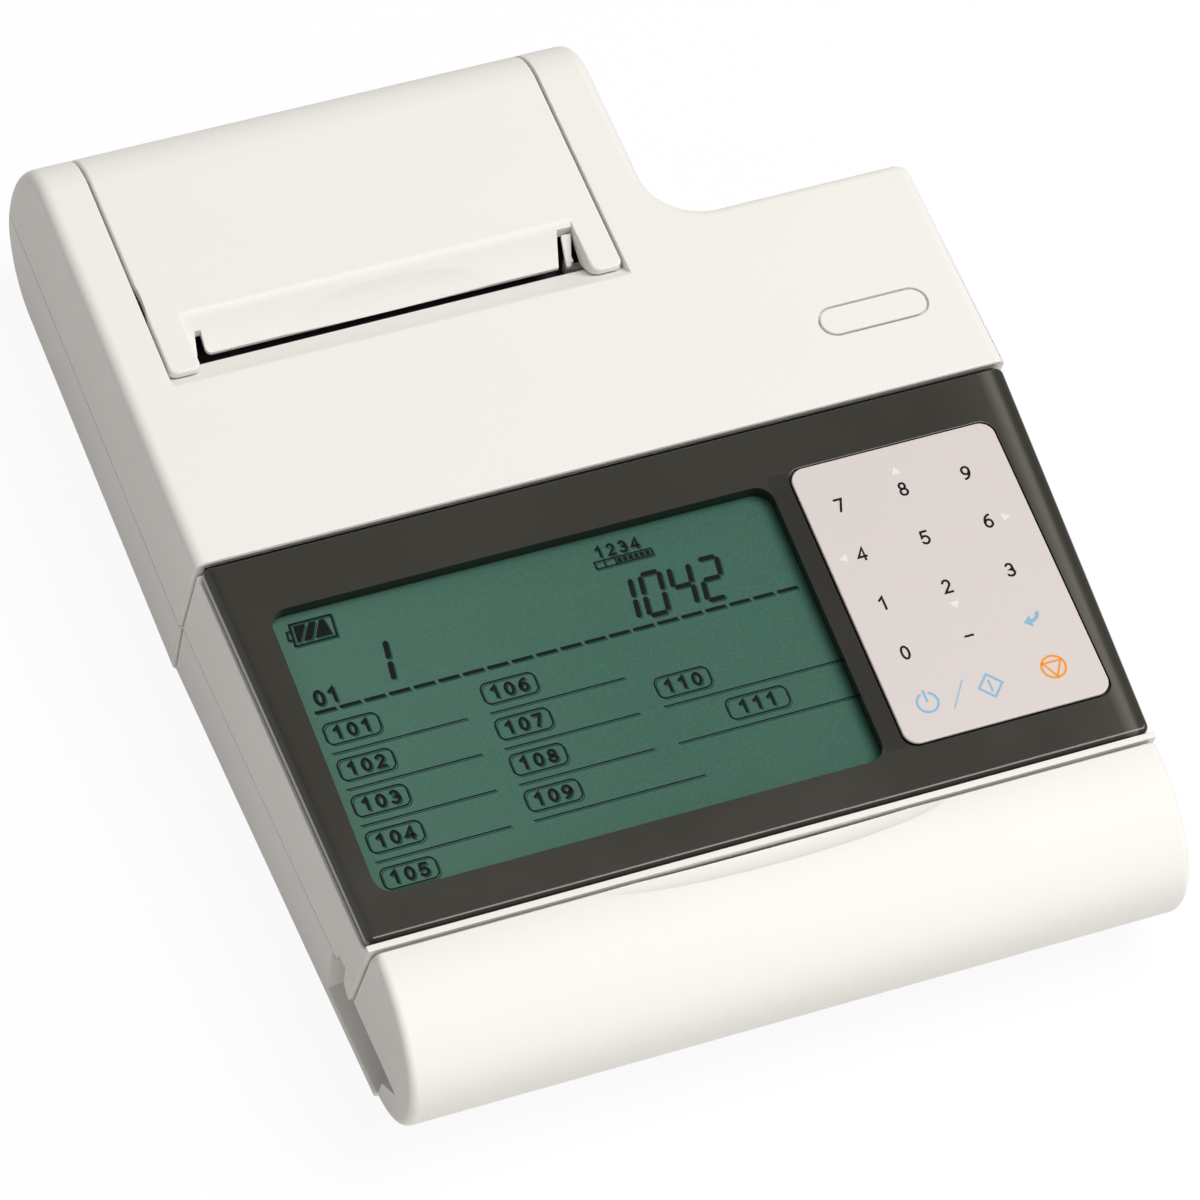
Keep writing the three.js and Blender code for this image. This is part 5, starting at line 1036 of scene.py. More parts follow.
def drawer_front_shell():
    """The rounded front with its cheeks, scoop and tray bracket."""
    low = CHEEK_TIP[1]
    band = [*cover_curve(0), (COVER_LIP_Y, COVER_LIP_HEIGHT)]
    solid = tidy_faces(prism([*band, CHEEK_TIP, CHEEK_SLOT, CHEEK_LOWER], "X", -COVER_HALF, COVER_HALF))
    on_band = on_outline(band)
    beveled(solid, END_RADIUS, FILLET_STEPS, lambda spot: abs(spot.x) > COVER_HALF - 0.1 and on_band(spot))
    beveled(solid, CHEEK_EDGE, 2,
            lambda spot: spot.z > low + 0.5 and abs(spot.y - cheek_edge(spot.z)) < ON_EDGE)
    foot = (SCOOP_FOOT[0], COVER_LIP_Y + SCOOP_FOOT[1], COVER_LIP_HEIGHT)
    solid = cut(solid, dish(foot, Matrix.Identity(4), *SCOOP))
    ceiling, beyond = COVER_LIP_HEIGHT - COVER_WALL, COVER_LIP_Y + 3 * OVERRUN
    inner = [*cover_curve(COVER_WALL), (COVER_LIP_Y + OVERRUN, ceiling), (beyond, ceiling), (beyond, 0),
             (LOWER_BACK, 0)]
    solid = cut(solid, prism(inner, "X", COVER_WALL - COVER_HALF, COVER_HALF - COVER_WALL))
    tray_low, tray_high = cad_box("strip_tray")
    bracket = common(block(tray_low.x, tray_high.x, COVER_NOSE + COVER_WALL / 2, tray_low.y - SEAT,
                           tray_low.z, tray_high.z),
                     prism([*cover_curve(COVER_WALL / 2), band[-1]], "X", -TRAY_HALF, TRAY_HALF))
    return joined(solid, bracket)


# Panel, display and key field, drawn in the panel's own plane and then tilted
def panel_outline(inset, steps=6):
    """The dark panel's tapered outline, with small round corners."""
    back, front, radius = PANEL_HALF_BACK - inset, PANEL_HALF_BACK - PANEL_TAPER - inset, PANEL_CORNER
    top, bottom = -inset, inset - PANEL_DEPTH
    return [*arc(back - radius, top - radius, radius, 0, 90, steps),
            *arc(radius - back, top - radius, radius, 90, 180, steps),
            *arc(radius - front, bottom + radius, radius, 180, 270, steps),
            *arc(front - radius, bottom + radius, radius, 270, 360, steps)]


def display_panel_plate():
    """The dark plate: bevelled rim, display window, key pocket and the holes over the keys."""
    plate = prism(panel_outline(0), "Z", -PANEL_THICK, 0)
    beveled(plate, PANEL_BEVEL, 3, lambda spot: spot.z > -0.01)
    x0, x1, y0, y1 = WINDOW
    plate = cut(plate, prism(rounded(x0, x1, y0, y1, WINDOW_CORNER, 12), "Z", -PANEL_THICK - 1, 1))
    x0, x1, y0, y1 = KEYPAD
    pocket = prism(rounded(x0 - SEAT, x1 + SEAT, y0 - SEAT, y1 + SEAT, KEYPAD_CORNER, 12), "Z",
                   KEYPAD_TOP - KEYPAD_THICK - SEAT, 1)
    plate = tidy_faces(cut(plate, pocket))
    beveled(plate, POCKET_EDGE, 2, lambda spot: spot.z > -0.01 and WINDOW[1] + 1 < spot.x < x1 + SEAM
            and y0 - SEAM < spot.y < y1 + SEAM)
    radius = KEY_RADIUS + SEAT
    for x, y, half in KEYS.values():
        hole = rounded(x - half - radius, x + half + radius, y - radius, y + radius, radius * 0.999, 12)
        plate = cut(plate, prism(hole, "Z", -PANEL_THICK - 1, 0))
    return moved(plate, TO_PANEL)


KEY_NAMES = (("key_7", "key_8", "key_9"), ("key_4", "key_5", "key_6"), ("key_1", "key_2", "key_3"),
             ("key_0", "key_minus", "key_enter"), ("key_start", None, "key_stop"))
KEYS = {name: (KEY_FIRST[0] + KEY_PITCH[0] * (0.5 if name == "key_start" else column),
               KEY_FIRST[1] - KEY_PITCH[1] * row, START_REACH if name == "key_start" else 0)
        for row, names in enumerate(KEY_NAMES) for column, name in enumerate(names) if name}


# Flat marks: what is printed on the key field and what the display shows, drawn one high in the panel's plane
def flat(points):
    """A filled outline."""
    return prism(points, "Z", 0, 1)


def laid(marks, low, high, shift=(0, 0)):
    """Marks laid on the panel between two heights."""
    place = Matrix.Translation((*shift, low)) @ Matrix.Diagonal((1, 1, high - low, 1))
    return moved(merged(*marks), TO_PANEL @ place)


def bar(start, end, width):
    """A straight stroke between two points."""
    a, b = Vector(start), Vector(end)
    side = Vector((a.y - b.y, b.x - a.x)).normalized() * width / 2
    return flat([tuple(a - side), tuple(b - side), tuple(b + side), tuple(a + side)])


def frame_of(outer, inner):
    """A closed line between two outlines of as many points."""
    bm = bmesh.new()
    edges = []
    for points in (outer, inner):
        loop = [bm.verts.new((x, y, 0)) for x, y in points]
        edges += [bm.edges.new((loop[index - 1], loop[index])) for index in range(len(loop))]
    return raised(bm, bmesh.ops.bridge_loops(bm, edges=edges)["faces"], (0, 0, 1))


def stroke(points, width):
    """A line of even width along points: closed where they return to their start, else with round ends."""
    closed = math.dist(points[0], points[-1]) < SAME_SPOT
    path = [Vector(point) for point in (points[:-1] if closed else points)]
    first_side, second_side, headings = [], [], []
    for index, here in enumerate(path):
        before = path[index - 1] if closed or index else 2 * here - path[1]
        after = path[(index + 1) % len(path)] if closed or index < len(path) - 1 else 2 * here - path[-2]
        arriving, leaving = (here - before).normalized(), (after - here).normalized()
        along = (arriving + leaving).normalized()
        reach = width / 2 / max(MITRE_LIMIT, along.dot(arriving))
        across = Vector((-along.y, along.x)) * reach
        first_side.append(here + across)
        second_side.append(here - across)
        headings.append(math.degrees(math.atan2(along.y, along.x)))
    if closed:
        return frame_of(first_side, second_side)
    end = arc(*path[-1], width / 2, headings[-1] + 90, headings[-1] - 90, 6)[1:-1]
    start = arc(*path[0], width / 2, headings[0] - 90, headings[0] - 270, 6)[1:-1]
    return flat([*first_side, *end, *reversed(second_side), *start])


MITRE_LIMIT = 0.45


def oval(x, y, half_width, half_height, start=0, end=360, steps=28):
    """Points of an upright oval or a part of it."""
    return [(x + a * half_width, y + b * half_height) for a, b in arc(0, 0, 1, start, end, steps)]


# Each digit in a box 0.6 wide and 1 high, as the lines that draw it
DIGIT_LINES = {
    "0": [oval(0.3, 0.5, 0.27, 0.5)],
    "1": [[(0.08, 0.76), (0.36, 1.0), (0.36, 0.0)]],
    "2": [oval(0.29, 0.72, 0.25, 0.28, 160, -40, 16) + [(0.03, 0.0), (0.58, 0.0)]],
    "3": [oval(0.28, 0.75, 0.23, 0.25, 150, -90, 16) + oval(0.28, 0.25, 0.28, 0.25, 90, -150, 16)[1:]],
    "4": [[(0.47, 0.0), (0.47, 1.0), (0.0, 0.27), (0.62, 0.27)]],
    "5": [[(0.54, 1.0), (0.12, 1.0), (0.07, 0.53)] + oval(0.28, 0.31, 0.29, 0.31, 128, -145, 18)],
    "6": [oval(0.31, 0.31, 0.27, 0.31), oval(0.52, 0.36, 0.48, 0.64, 92, 180, 12)],
    "7": [[(0.02, 1.0), (0.56, 1.0), (0.2, 0.0)]],
    "8": [oval(0.3, 0.76, 0.22, 0.24), oval(0.3, 0.26, 0.27, 0.26)],
    "9": [oval(0.29, 0.69, 0.27, 0.31), oval(0.08, 0.64, 0.48, 0.64, -88, 0, 12)],
}


def lettering(text, height, place, weight, pitch=0.0, wide=1.0):
    """Digits centred on a place, drawn in lines of one weight."""
    solids = []
    reach = height - weight
    for index, digit in enumerate(text):
        left = place[0] - 0.3 * reach * wide + (index - (len(text) - 1) / 2) * pitch
        for line in DIGIT_LINES[digit]:
            solids.append(stroke([(left + a * reach * wide, place[1] + (b - 0.5) * reach) for a, b in line],
                                 weight))
    return merged(*solids)


DIGIT_HEIGHT = 2.4
DIGIT_WEIGHT = 0.36
INK = 0.03
ICON_LINE = 0.36
LEGEND_SHIFT = (0.1, -0.3)
ARROW_HALF = (0.675, 0.7425)
ARROW_REACH = {"key_8": (0, 3.35), "key_4": (-2.95, 0), "key_6": (2.95, 0), "key_2": (0, -3.35)}
# Marks as offsets from their place: a minus, a bent arrow, a stem and a slash, a rhombus, a triangle
MINUS = ((-0.75, 0), (0.75, 0))
MINUS_LINE = 0.34
BENT_HEAD = ((-1.55, -0.3), (-0.3, 0.68), (-0.3, -1.28))
STEM = ((0, 0.1), (0, 2.1))
SLASH = ((3.4, -2.1), (6.3, 2.1))
RHOMBUS = ((1.85, 0), (0, 1.95), (-1.85, 0), (0, -1.95), (1.85, 0))
RHOMBUS_STEM = ((-0.05, -1.0), (-0.05, 1.0))
TRIANGLE = ((-1.42, 0.86), (0, -1.62), (1.42, 0.86), (-1.42, 0.86))


def shifted(points, x, y):
    """Points moved to a place."""
    return [(x + a, y + b) for a, b in points]


def key_legends():
    """Printed marks of the key field by ink: digits, arrows and pictograms."""
    places = {name: (x + LEGEND_SHIFT[0], y + LEGEND_SHIFT[1]) for name, (x, y, _) in KEYS.items()}
    digits = [lettering(name[-1], DIGIT_HEIGHT, places[name], DIGIT_WEIGHT)
              for row in KEY_NAMES for name in row if name and name[-1].isdigit()]
    digits.append(bar(*shifted(MINUS, *places["key_minus"]), MINUS_LINE))
    arrows = []
    for name, reach in ARROW_REACH.items():
        middle, ahead = Vector(places[name]) + Vector(reach), Vector(reach).normalized()
        aside = Vector((-ahead.y, ahead.x)) * ARROW_HALF[1]
        ahead *= ARROW_HALF[0]
        arrows.append(flat([tuple(middle + ahead), tuple(middle - ahead + aside),
                            tuple(middle - ahead - aside)]))
    x, y = places["key_enter"]
    icons = [flat(shifted(BENT_HEAD, x, y)),
             flat(arc(x - 0.3, y + 1.0, 1.6, -90, 0, 10) + arc(x - 0.3, y + 1.0, 1.0, 0, -90, 10))]
    x, y = KEY_FIRST[0] + 0.15, KEYS["key_start"][1] - 0.3
    icons += [stroke(arc(x, y, 1.6, 115, 425, 40), ICON_LINE), bar(*shifted(STEM, x, y), ICON_LINE),
              bar(*shifted(SLASH, x, y), ICON_LINE / 2)]
    x = KEY_FIRST[0] + KEY_PITCH[0]
    icons += [stroke(shifted(RHOMBUS, x, y), ICON_LINE),
              bar(*shifted(RHOMBUS_STEM, x, y), ICON_LINE * 0.8)]
    x, y, _ = KEYS["key_stop"]
    stop = [stroke(arc(x, y, 1.82, 0, 360, 40), ICON_LINE),
            stroke(shifted(TRIANGLE, x, y), ICON_LINE * 0.9)]
    return {"legend_digits": digits, "legend_arrows": arrows, "legend_icons": icons, "legend_stop": stop}


SEGMENT_MAP = {"0": "abcdef", "1": "bc", "2": "abged", "3": "abgcd", "4": "fgbc", "5": "afgcd", "6": "afgedc",
               "7": "abc", "8": "abcdefg", "9": "abcdfg"}


SEGMENT_PLACES = {"a": ((0, 1), (1, 1)), "g": ((0, 0.5), (1, 0.5)), "d": ((0, 0), (1, 0)),
                  "f": ((0, 0.5), (0, 1)), "b": ((1, 0.5), (1, 1)), "e": ((0, 0), (0, 0.5)),
                  "c": ((1, 0), (1, 0.5))}
LCD_SLANT = 0.13
SEGMENT_GAP = 0.2
SEGMENT_TIP = 0.32


def seven_segment(digit, corner, width, height, thick):
    """One slanted seven-segment digit whose lower left corner is given."""
    solids = []
    for letter in SEGMENT_MAP[digit]:
        start, end = (Vector((x * width, y * height)) for x, y in SEGMENT_PLACES[letter])
        along = (end - start).normalized()
        across = Vector((-along.y, along.x)) * thick / 2
        tip, gap = along * thick * SEGMENT_TIP, along * thick * SEGMENT_GAP
        start, end = start + gap, end - gap
        points = [start, start + tip + across, end - tip + across, end, end - tip - across,
                  start + tip - across]
        solids.append(flat(shifted([(x + LCD_SLANT * y, y) for x, y in points], *corner)))
    return solids


# The display's marks: boxes as left, right, lower and upper edge, numbers as height, place, weight and pitch
BATTERY = (-53.75, -47.35, -14.85, -11.2)
BATTERY_LEAN = 0.25
BATTERY_CAP = ((-53.75, -13.75), (-54.37, -13.75), (-54.25, -12.3), (-53.6, -12.3))
BATTERY_BARS = ((0.55, 1.0, 0.75, 2.6), (1.5, 2.8, 3.1, 4.2), (3.3, 5.85, 4.7, 5.45))
BATTERY_INSET = (0.5, 0.45)
BATTERY_LINE = 0.28
CAP_LINE = 0.24
STRIP = (-7.1, 1.8, -15.0, -13.8)
STRIP_BARS = (-5.6, -3.9)
STRIP_LINE = 0.18
STRIP_PADS = (6, -3.6, 0.88, 0.6, 0.2)
STRIP_LABEL = ("1234", 2.1, (-3.0, -12.35), 0.36, 1.85)
LEAD_DIGIT = ("1", (-44.65, -24.2), 2.75, 6.8, 0.78)
LEAD_LABEL = ("01", 2.7, (-52.2, -23.9), 0.48, 2.15)
READOUT = "1042"
READOUT_PLACE = (-6.9, 4.55, -24.6)
READOUT_SIZE = (2.95, 6.9, 0.74)
DASHES = 20
DASH_FIRST = WINDOW[0] + 1.8
DASH_PITCH = 3.78
DASH_LENGTH = 3.2
DASH_LINE = (-26.1, 0.5)
LCD_ROW_PITCH = 6.12
LCD_BOX = (8.3, 3.5, 1.05)
LCD_WIDE_BOX = 9.4
LCD_LINE = 0.22
LCD_RULE = LCD_LINE * 0.85
LCD_WEIGHT = 0.44
LCD_NUMBER = (2.3, 2.15, 1.1)
# Columns as centre, first row, rows, ruled rows, end of the rules and of the last one
LCD_COLUMNS = ((-50.4, -30.0, 5, 4, -33.9, -33.9), (-26.35, -30.15, 4, 4, -9.6, -4.0))
COLUMN_DROP = 3.15
# Single boxes as centre, width and start of the rule
LCD_SINGLES = ((-1.7, -36.4, LCD_BOX[0], -5.8), (7.6, -42.65, LCD_WIDE_BOX, -5.9))
SINGLE_DROP = 3.05
MARK_SHADOW = (0.22, -0.28)
SHADOW_SHADE = 0.55
FIRST_LABEL = 101


def battery_mark():
    """The battery's outline, its cap and its bars."""
    x0, x1, y0, y1 = BATTERY
    outline = [(x0, y0), (x1, y0), (x1 + BATTERY_LEAN, y1), (x0 + BATTERY_LEAN, y1), (x0, y0)]
    low, high = y0 + BATTERY_INSET[0], y1 - BATTERY_INSET[1]
    bars = [flat([(x0 + near, low), (x0 + far, low), (x0 + far_top, high), (x0 + near_top, high)])
            for near, far, near_top, far_top in BATTERY_BARS]
    return [stroke(outline, BATTERY_LINE), stroke(BATTERY_CAP, CAP_LINE), *bars]


def strip_mark():
    """The small strip with its pads and its number."""
    x0, x1, y0, y1 = STRIP
    count, first, pitch, width, inset = STRIP_PADS
    low, high = y0 + inset, y1 - inset
    pads = [flat([(x, low), (x + width, low), (x + width, high), (x, high)])
            for x in (first + step * pitch for step in range(count))]
    return [lettering(*STRIP_LABEL), stroke([(x0, y0), (x1, y0), (x1, y1), (x0, y1), (x0, y0)], LCD_LINE),
            *(bar((x, y0), (x, y1), STRIP_LINE) for x in STRIP_BARS), *pads]


def display_marks():
    """Everything the display shows: battery, numbers, dashes, numbered boxes with rules, and a strip."""
    solids = [*battery_mark(), *seven_segment(*LEAD_DIGIT), lettering(*LEAD_LABEL)]
    y, thick = DASH_LINE
    for x in (DASH_FIRST + step * DASH_PITCH for step in range(DASHES)):
        solids.append(bar((x, y), (min(x + DASH_LENGTH, WINDOW[1]), y), thick))
    left, pitch, foot = READOUT_PLACE
    for index, digit in enumerate(READOUT):
        solids += seven_segment(digit, (left + index * pitch, foot), *READOUT_SIZE)
    solids += strip_mark()
    width, height, radius = LCD_BOX
    boxes = []
    for x, first, rows, ruled, rule_end, last_end in LCD_COLUMNS:
        for row in range(rows):
            y = first - row * LCD_ROW_PITCH
            boxes.append((x, y, width))
            if row < ruled:
                end = last_end if row == ruled - 1 else rule_end
                solids.append(bar((x - width / 2, y - COLUMN_DROP), (end, y - COLUMN_DROP), LCD_RULE))
    for x, y, wide, start in LCD_SINGLES:
        boxes.append((x, y, wide))
        solids.append(bar((start, y - SINGLE_DROP), (WINDOW[1], y - SINGLE_DROP), LCD_RULE))
    size, pitch, stretch = LCD_NUMBER
    for number, (x, y, wide) in enumerate(boxes, FIRST_LABEL):
        outline = rounded(x - wide / 2, x + wide / 2, y - height / 2, y + height / 2, radius, 6)
        solids += [stroke([*outline, outline[0]], LCD_LINE),
                   lettering(str(number), size, (x, y), LCD_WEIGHT, pitch, stretch)]
    return solids


def key_sheet_plate():
    """The printed key field: a thin plate with a soft rim."""
    x0, x1, y0, y1 = KEYPAD
    plate = prism(rounded(x0, x1, y0, y1, KEYPAD_CORNER, 12), "Z", KEYPAD_TOP - KEYPAD_THICK, KEYPAD_TOP)
    beveled(plate, SHEET_EDGE, 3, lambda spot: spot.z > KEYPAD_TOP - 0.01)
    return moved(plate, TO_PANEL)


# Finishes: those seen from outside take their colours from the settings
def ramped(tree, value, stops):
    """A colour that runs through given stops as a value grows from 0 to 1."""
    ramp = tree.nodes.new("ShaderNodeValToRGB")
    points = ramp.color_ramp.elements
    while len(points) < len(stops):
        points.new(1.0)
    for point, (place, color) in zip(points, stops):
        point.position = place
        point.color = color
    tree.links.new(value, ramp.inputs["Fac"])
    return ramp.outputs["Color"]


RIM = 1.6
PAINTED_BAND_REACH = 14.0
# The base tone is raised to the painted reflection's peak, and the painted bands below scale it down
PAINTED_REFLECTION_PEAK = 4.4
# Painted reflection along the right rim, dark at the edge and pale a little inside: distance from the rim,
# brightness, coolness
RIGHT_PAINTED_REFLECTION = ((0.0, 0.14, 1.0), (0.55, 0.3, 1.0), (1.0, 0.2, 1.0), (1.6, 0.32, 1.05), (2.1, 0.84, 1.1),
              (2.6, 0.9, 1.1), (3.4, 0.62, 1.05), (4.2, 0.36, 1.0), (8.0, 0.3, 1.0), (13.0, 0.25, 1.0))
# Painted light and shade along the left rim: distance from the rim, brightness, coolness
LEFT_PAINTED_SHADING = ((0.0, 1.0, 1.0), (0.65, 0.9, 1.0), (1.0, 0.5, 1.0), (1.4, 0.64, 1.0), (2.2, 0.77, 1.0))
# Painted shade on the strip between the display window and the key field
BETWEEN_SHADE_SHARE = 0.5
BETWEEN_SHADE = 0.35
# Near-black painted shade on the inner walls of the window and the key openings
WALL_DEPTH = 0.12
WALL_PAINTED_SHADE = linear(20, 17, 14)
PANEL_COAT = 0.3


def dark_glossy():
    """The dark panel: paler along its right rim by a painted reflection, darker along its other rims by
    painted shade, darker on the strip between display and keys by painted shade, and near black on its inner
    walls by painted shade.
    """
    dark = (*bpy.context.scene.analyzer_colours.panel_dark, 1)
    material = moulded("Dark panel", scaled(dark, PAINTED_REFLECTION_PEAK), roughness=0.13, grain=0.012, shade=0.94,
                       Specular_IOR_Level=0.35, Coat_Weight=PANEL_COAT)
    tree = material.node_tree
    shader = tree.nodes["Principled BSDF"]
    mapping = added(tree, "ShaderNodeMapping", Vector=tree.nodes["Texture Coordinate"].outputs["Object"],
                    Location=TO_PANEL.inverted().translation, Rotation=(-PANEL_TILT, 0, 0),
                    Scale=(1 / MM,) * 3)
    x, y, z = added(tree, "ShaderNodeSeparateXYZ", Vector=mapping.outputs["Vector"]).outputs
    half = math_node(tree, "MULTIPLY_ADD", y, PANEL_TAPER / PANEL_DEPTH, PANEL_HALF_BACK)
    from_right, from_left = (math_node(tree, "DIVIDE", math_node(tree, operation, half, x), PAINTED_BAND_REACH)
                             for operation in ("SUBTRACT", "ADD"))
    tone = shader.inputs["Base Color"].links[0].from_socket
    # Painted reflection along the right rim, and painted light and shade along the left rim
    for away, band in ((from_right, RIGHT_PAINTED_REFLECTION), (from_left, LEFT_PAINTED_SHADING)):
        stops = [(place / PAINTED_BAND_REACH, (share, share, share * cool, 1)) for place, share, cool in band]
        tone = mixed(tree, 1.0, tone, ramped(tree, away, stops), "MULTIPLY")
    # Painted shade on the strip between the display window and the key field
    between = product(tree, math_node(tree, "GREATER_THAN", x, WINDOW[1]),
                      math_node(tree, "LESS_THAN", x, KEYPAD[0]), math_node(tree, "LESS_THAN", y, KEYPAD[3]),
                      math_node(tree, "GREATER_THAN", y, KEYPAD[2]), BETWEEN_SHADE_SHARE)
    tone = mixed(tree, between, tone, scaled(dark, BETWEEN_SHADE))
    nearest = math_node(tree, "MINIMUM", from_left, from_right)
    # Inner walls below the top darkened to near black: painted shade of the recesses
    wall = product(tree, math_node(tree, "LESS_THAN", z, -WALL_DEPTH),
                   math_node(tree, "GREATER_THAN", nearest, RIM / PAINTED_BAND_REACH),
                   math_node(tree, "GREATER_THAN", y, RIM - PANEL_DEPTH))
    tree.links.new(mixed(tree, wall, tone, WALL_PAINTED_SHADE), shader.inputs["Base Color"])
    coat = math_node(tree, "MULTIPLY_ADD", wall, -PANEL_COAT, PANEL_COAT)
    tree.links.new(coat, shader.inputs["Coat Weight"])
    return material


GREY_SPECKLE = linear(96, 100, 96)
PALE_GREEN = linear(78, 116, 100)


def display_ground():
    """The display's green ground: fine greyish speckle, a little paler and greyer towards its left side."""
    color = (*bpy.context.scene.analyzer_colours.display_green, 1)
    material, tree, shader, spot = new_material("Display ground")
    fine = added(tree, "ShaderNodeTexNoise", Vector=spot, Scale=2600.0, Detail=2.0, Roughness=0.7)
    broad = added(tree, "ShaderNodeTexNoise", Vector=spot, Scale=60.0, Detail=4.0, Roughness=0.6)
    speckle = added(tree, "ShaderNodeMapRange", Value=fine.outputs["Fac"], From_Min=0.38, From_Max=0.62)
    tone = mixed(tree, speckle.outputs["Result"], scaled(color, 0.88), scaled(color, 1.1))
    tone = mixed(tree, product(tree, broad.outputs["Fac"], 0.2), tone, GREY_SPECKLE)
    apart = added(tree, "ShaderNodeSeparateXYZ", Vector=spot)
    leftward = added(tree, "ShaderNodeMapRange", Value=apart.outputs["X"], From_Min=WINDOW[0] * MM * 0.1,
                     From_Max=WINDOW[0] * MM)
    tone = mixed(tree, product(tree, leftward.outputs["Result"], 0.45), tone, PALE_GREEN)
    tree.links.new(tone, shader.inputs["Base Color"])
    set_inputs(shader, {"Roughness": 0.55, "Specular IOR Level": 0.2, "Coat Weight": 0.12,
                        "Coat Roughness": 0.1})
    return material


def ink(name, color):
    """A printed mark's ink."""
    return moulded(name, (*color, 1), roughness=0.5, grain=0.03, scale=4000.0, shade=0.9,
                   Specular_IOR_Level=0.12)


# Slot: material name, colour or the setting that holds it, roughness, grain, grain scale, shade, the rest
MOULDED = {
    "white_case": ("White case", "case_white", 0.54, 0.10, 2600.0, 0.985, {"Specular_IOR_Level": 0.25}),
    "key_field": ("Key field", "key_field", 0.36, 0.03, 3200.0, 0.985, {}),
    "black_plastic": ("Black plastic", linear(34, 35, 37), 0.5, 0.08, 1800.0, 0.8, {}),
    "grey_plastic": ("Grey plastic", linear(58, 57, 58), 0.6, 0.07, 2200.0, 0.9, {}),
    "rubber": ("Rubber", linear(42, 42, 43), 0.82, 0.16, 1300.0, 0.8, {}),
    "key_rubber": ("Key rubber", linear(154, 154, 150), 0.75, 0.08, 1600.0, 0.93, {}),
    "circuit_board": ("Circuit board", linear(34, 92, 58), 0.38, 0.05, 700.0, 0.72, {}),
    "clear_white": ("Clear white", linear(240, 240, 234), 0.22, 0.01, 2200.0, 0.97, {"Coat_Weight": 0.3}),
    "paper": ("Paper", linear(246, 245, 240), 0.85, 0.12, 1500.0, 0.965, {}),
    "battery_wrap": ("Battery wrap", linear(58, 76, 102), 0.3, 0.02, 2200.0, 0.9, {"Coat_Weight": 0.4})}
BRUSHED = {"steel": ("Zinc steel", linear(176, 178, 180)),
           "bright_steel": ("Bright steel", linear(205, 207, 208), 0.24, (2400.0, 60.0, 2400.0))}
DRAWN = {"dark_panel": dark_glossy, "display_green": display_ground}
FINISHES = {}


def finish(slot):
    """The material of a slot, made on first use."""
    if slot not in FINISHES:
        if slot in MOULDED:
            name, color, *look, rest = MOULDED[slot]
            if isinstance(color, str):
                color = (*getattr(bpy.context.scene.analyzer_colours, color), 1)
            FINISHES[slot] = moulded(name, color, *look, **rest)
        else:
            FINISHES[slot] = brushed(*BRUSHED[slot]) if slot in BRUSHED else DRAWN[slot]()
    return FINISHES[slot]


NODE_SLOTS = {part["node"]: part["material_slot"] for part in frame["record"]["subparts"]}


def colour_setting(name, description, *shade):
    """A colour setting whose default is given as it looks on screen."""
    return bpy.props.FloatVectorProperty(name=name, description=description, subtype="COLOR", size=3, min=0,
                                         max=1, default=linear(*shade)[:3])


def power_setting(name, description, watts):
    """A lamp's power."""
    return bpy.props.FloatProperty(name=name, description=description, default=watts, min=0, subtype="POWER",
                                   unit="POWER")


class AnalyzerSizes(bpy.types.PropertyGroup):
    """Sizes of the stage."""
    lens: bpy.props.FloatProperty(name="Lens", description="Focal length on a 36 mm sensor", default=201.0,
                                  min=20, unit="CAMERA")
    floor_width: bpy.props.FloatProperty(name="Floor width", description="Side of the pale floor",
                                         default=6.0, min=0.5, subtype="DISTANCE", unit="LENGTH")


class AnalyzerColours(bpy.types.PropertyGroup):
    """Colours of the finishes, as linear values."""
    case_white: colour_setting("Case", "White moulded case", 240, 238, 233)
    panel_dark: colour_setting("Panel", "Dark glossy panel", 57, 55, 47)
    display_green: colour_setting("Display", "Green ground of the display", 49, 98, 82)
    display_dark: colour_setting("Segments", "Dark segments of the display", 7, 15, 16)
    key_field: colour_setting("Key field", "Printed key field", 212, 204, 201)
    digits: colour_setting("Digits", "Ink of the digits", 30, 20, 22)
    arrows: colour_setting("Arrows", "Pale ink of the arrows", 234, 233, 230)
    icons: colour_setting("Pictograms", "Pale blue ink", 146, 187, 216)
    stop: colour_setting("Stop mark", "Orange ink", 245, 160, 60)


class AnalyzerLight(bpy.types.PropertyGroup):
    """The soft studio light."""
    key_power: power_setting("Key light", "Large lamp above the right side", 24.4)
    front_power: power_setting("Front light", "Lamp in front of the nose", 9.5)
    side_power: power_setting("Side light", "Weak lamp over the left side", 1.7)
    ambient: bpy.props.FloatProperty(name="Ambient", description="Even light from all around", default=0.32,
                                     min=0, max=1, subtype="FACTOR")


class PieceOperator:
    """What all of the building operators share."""
    bl_options = {"REGISTER", "UNDO"}


class ANALYZER_OT_rear_case(PieceOperator, bpy.types.Operator):
    """Builds the two shells of the rear body and the oval inlay"""
    bl_idname = "analyzer.rear_case"
    bl_label = "Rear case"

    def execute(self, context):
        finished(rear_upper_shell(), "rear_upper_shell", "case", "white_case", "rear_upper_case")
        finished(rear_lower_shell(), "rear_lower_shell", "case", "white_case", "rear_lower_case")
        inlay = beveled(pill(0, INLAY_LOW.z, INLAY_HIGH.z), INLAY_EDGE, 3,
                        lambda spot: spot.z > INLAY_HIGH.z - 0.1)
        finished(inlay, "inlay", "case", "white_case", "oval_inlay")
        return {"FINISHED"}


class ANALYZER_OT_printer_cover(PieceOperator, bpy.types.Operator):
    """Builds the opening cover over the paper, and the frame and tab under it"""
    bl_idname = "analyzer.printer_cover"
    bl_label = "Printer cover"

    def execute(self, context):
        finished(printer_cover_shell(), "cover_shell", "printer_cover", "white_case", "printer_cover")
        finished(printer_frame_plates(), "frame_plates", "case", "grey_plastic", "printer_frame")
        finished(guide_tab(), "guide_tab", "case", "white_case")
        return {"FINISHED"}


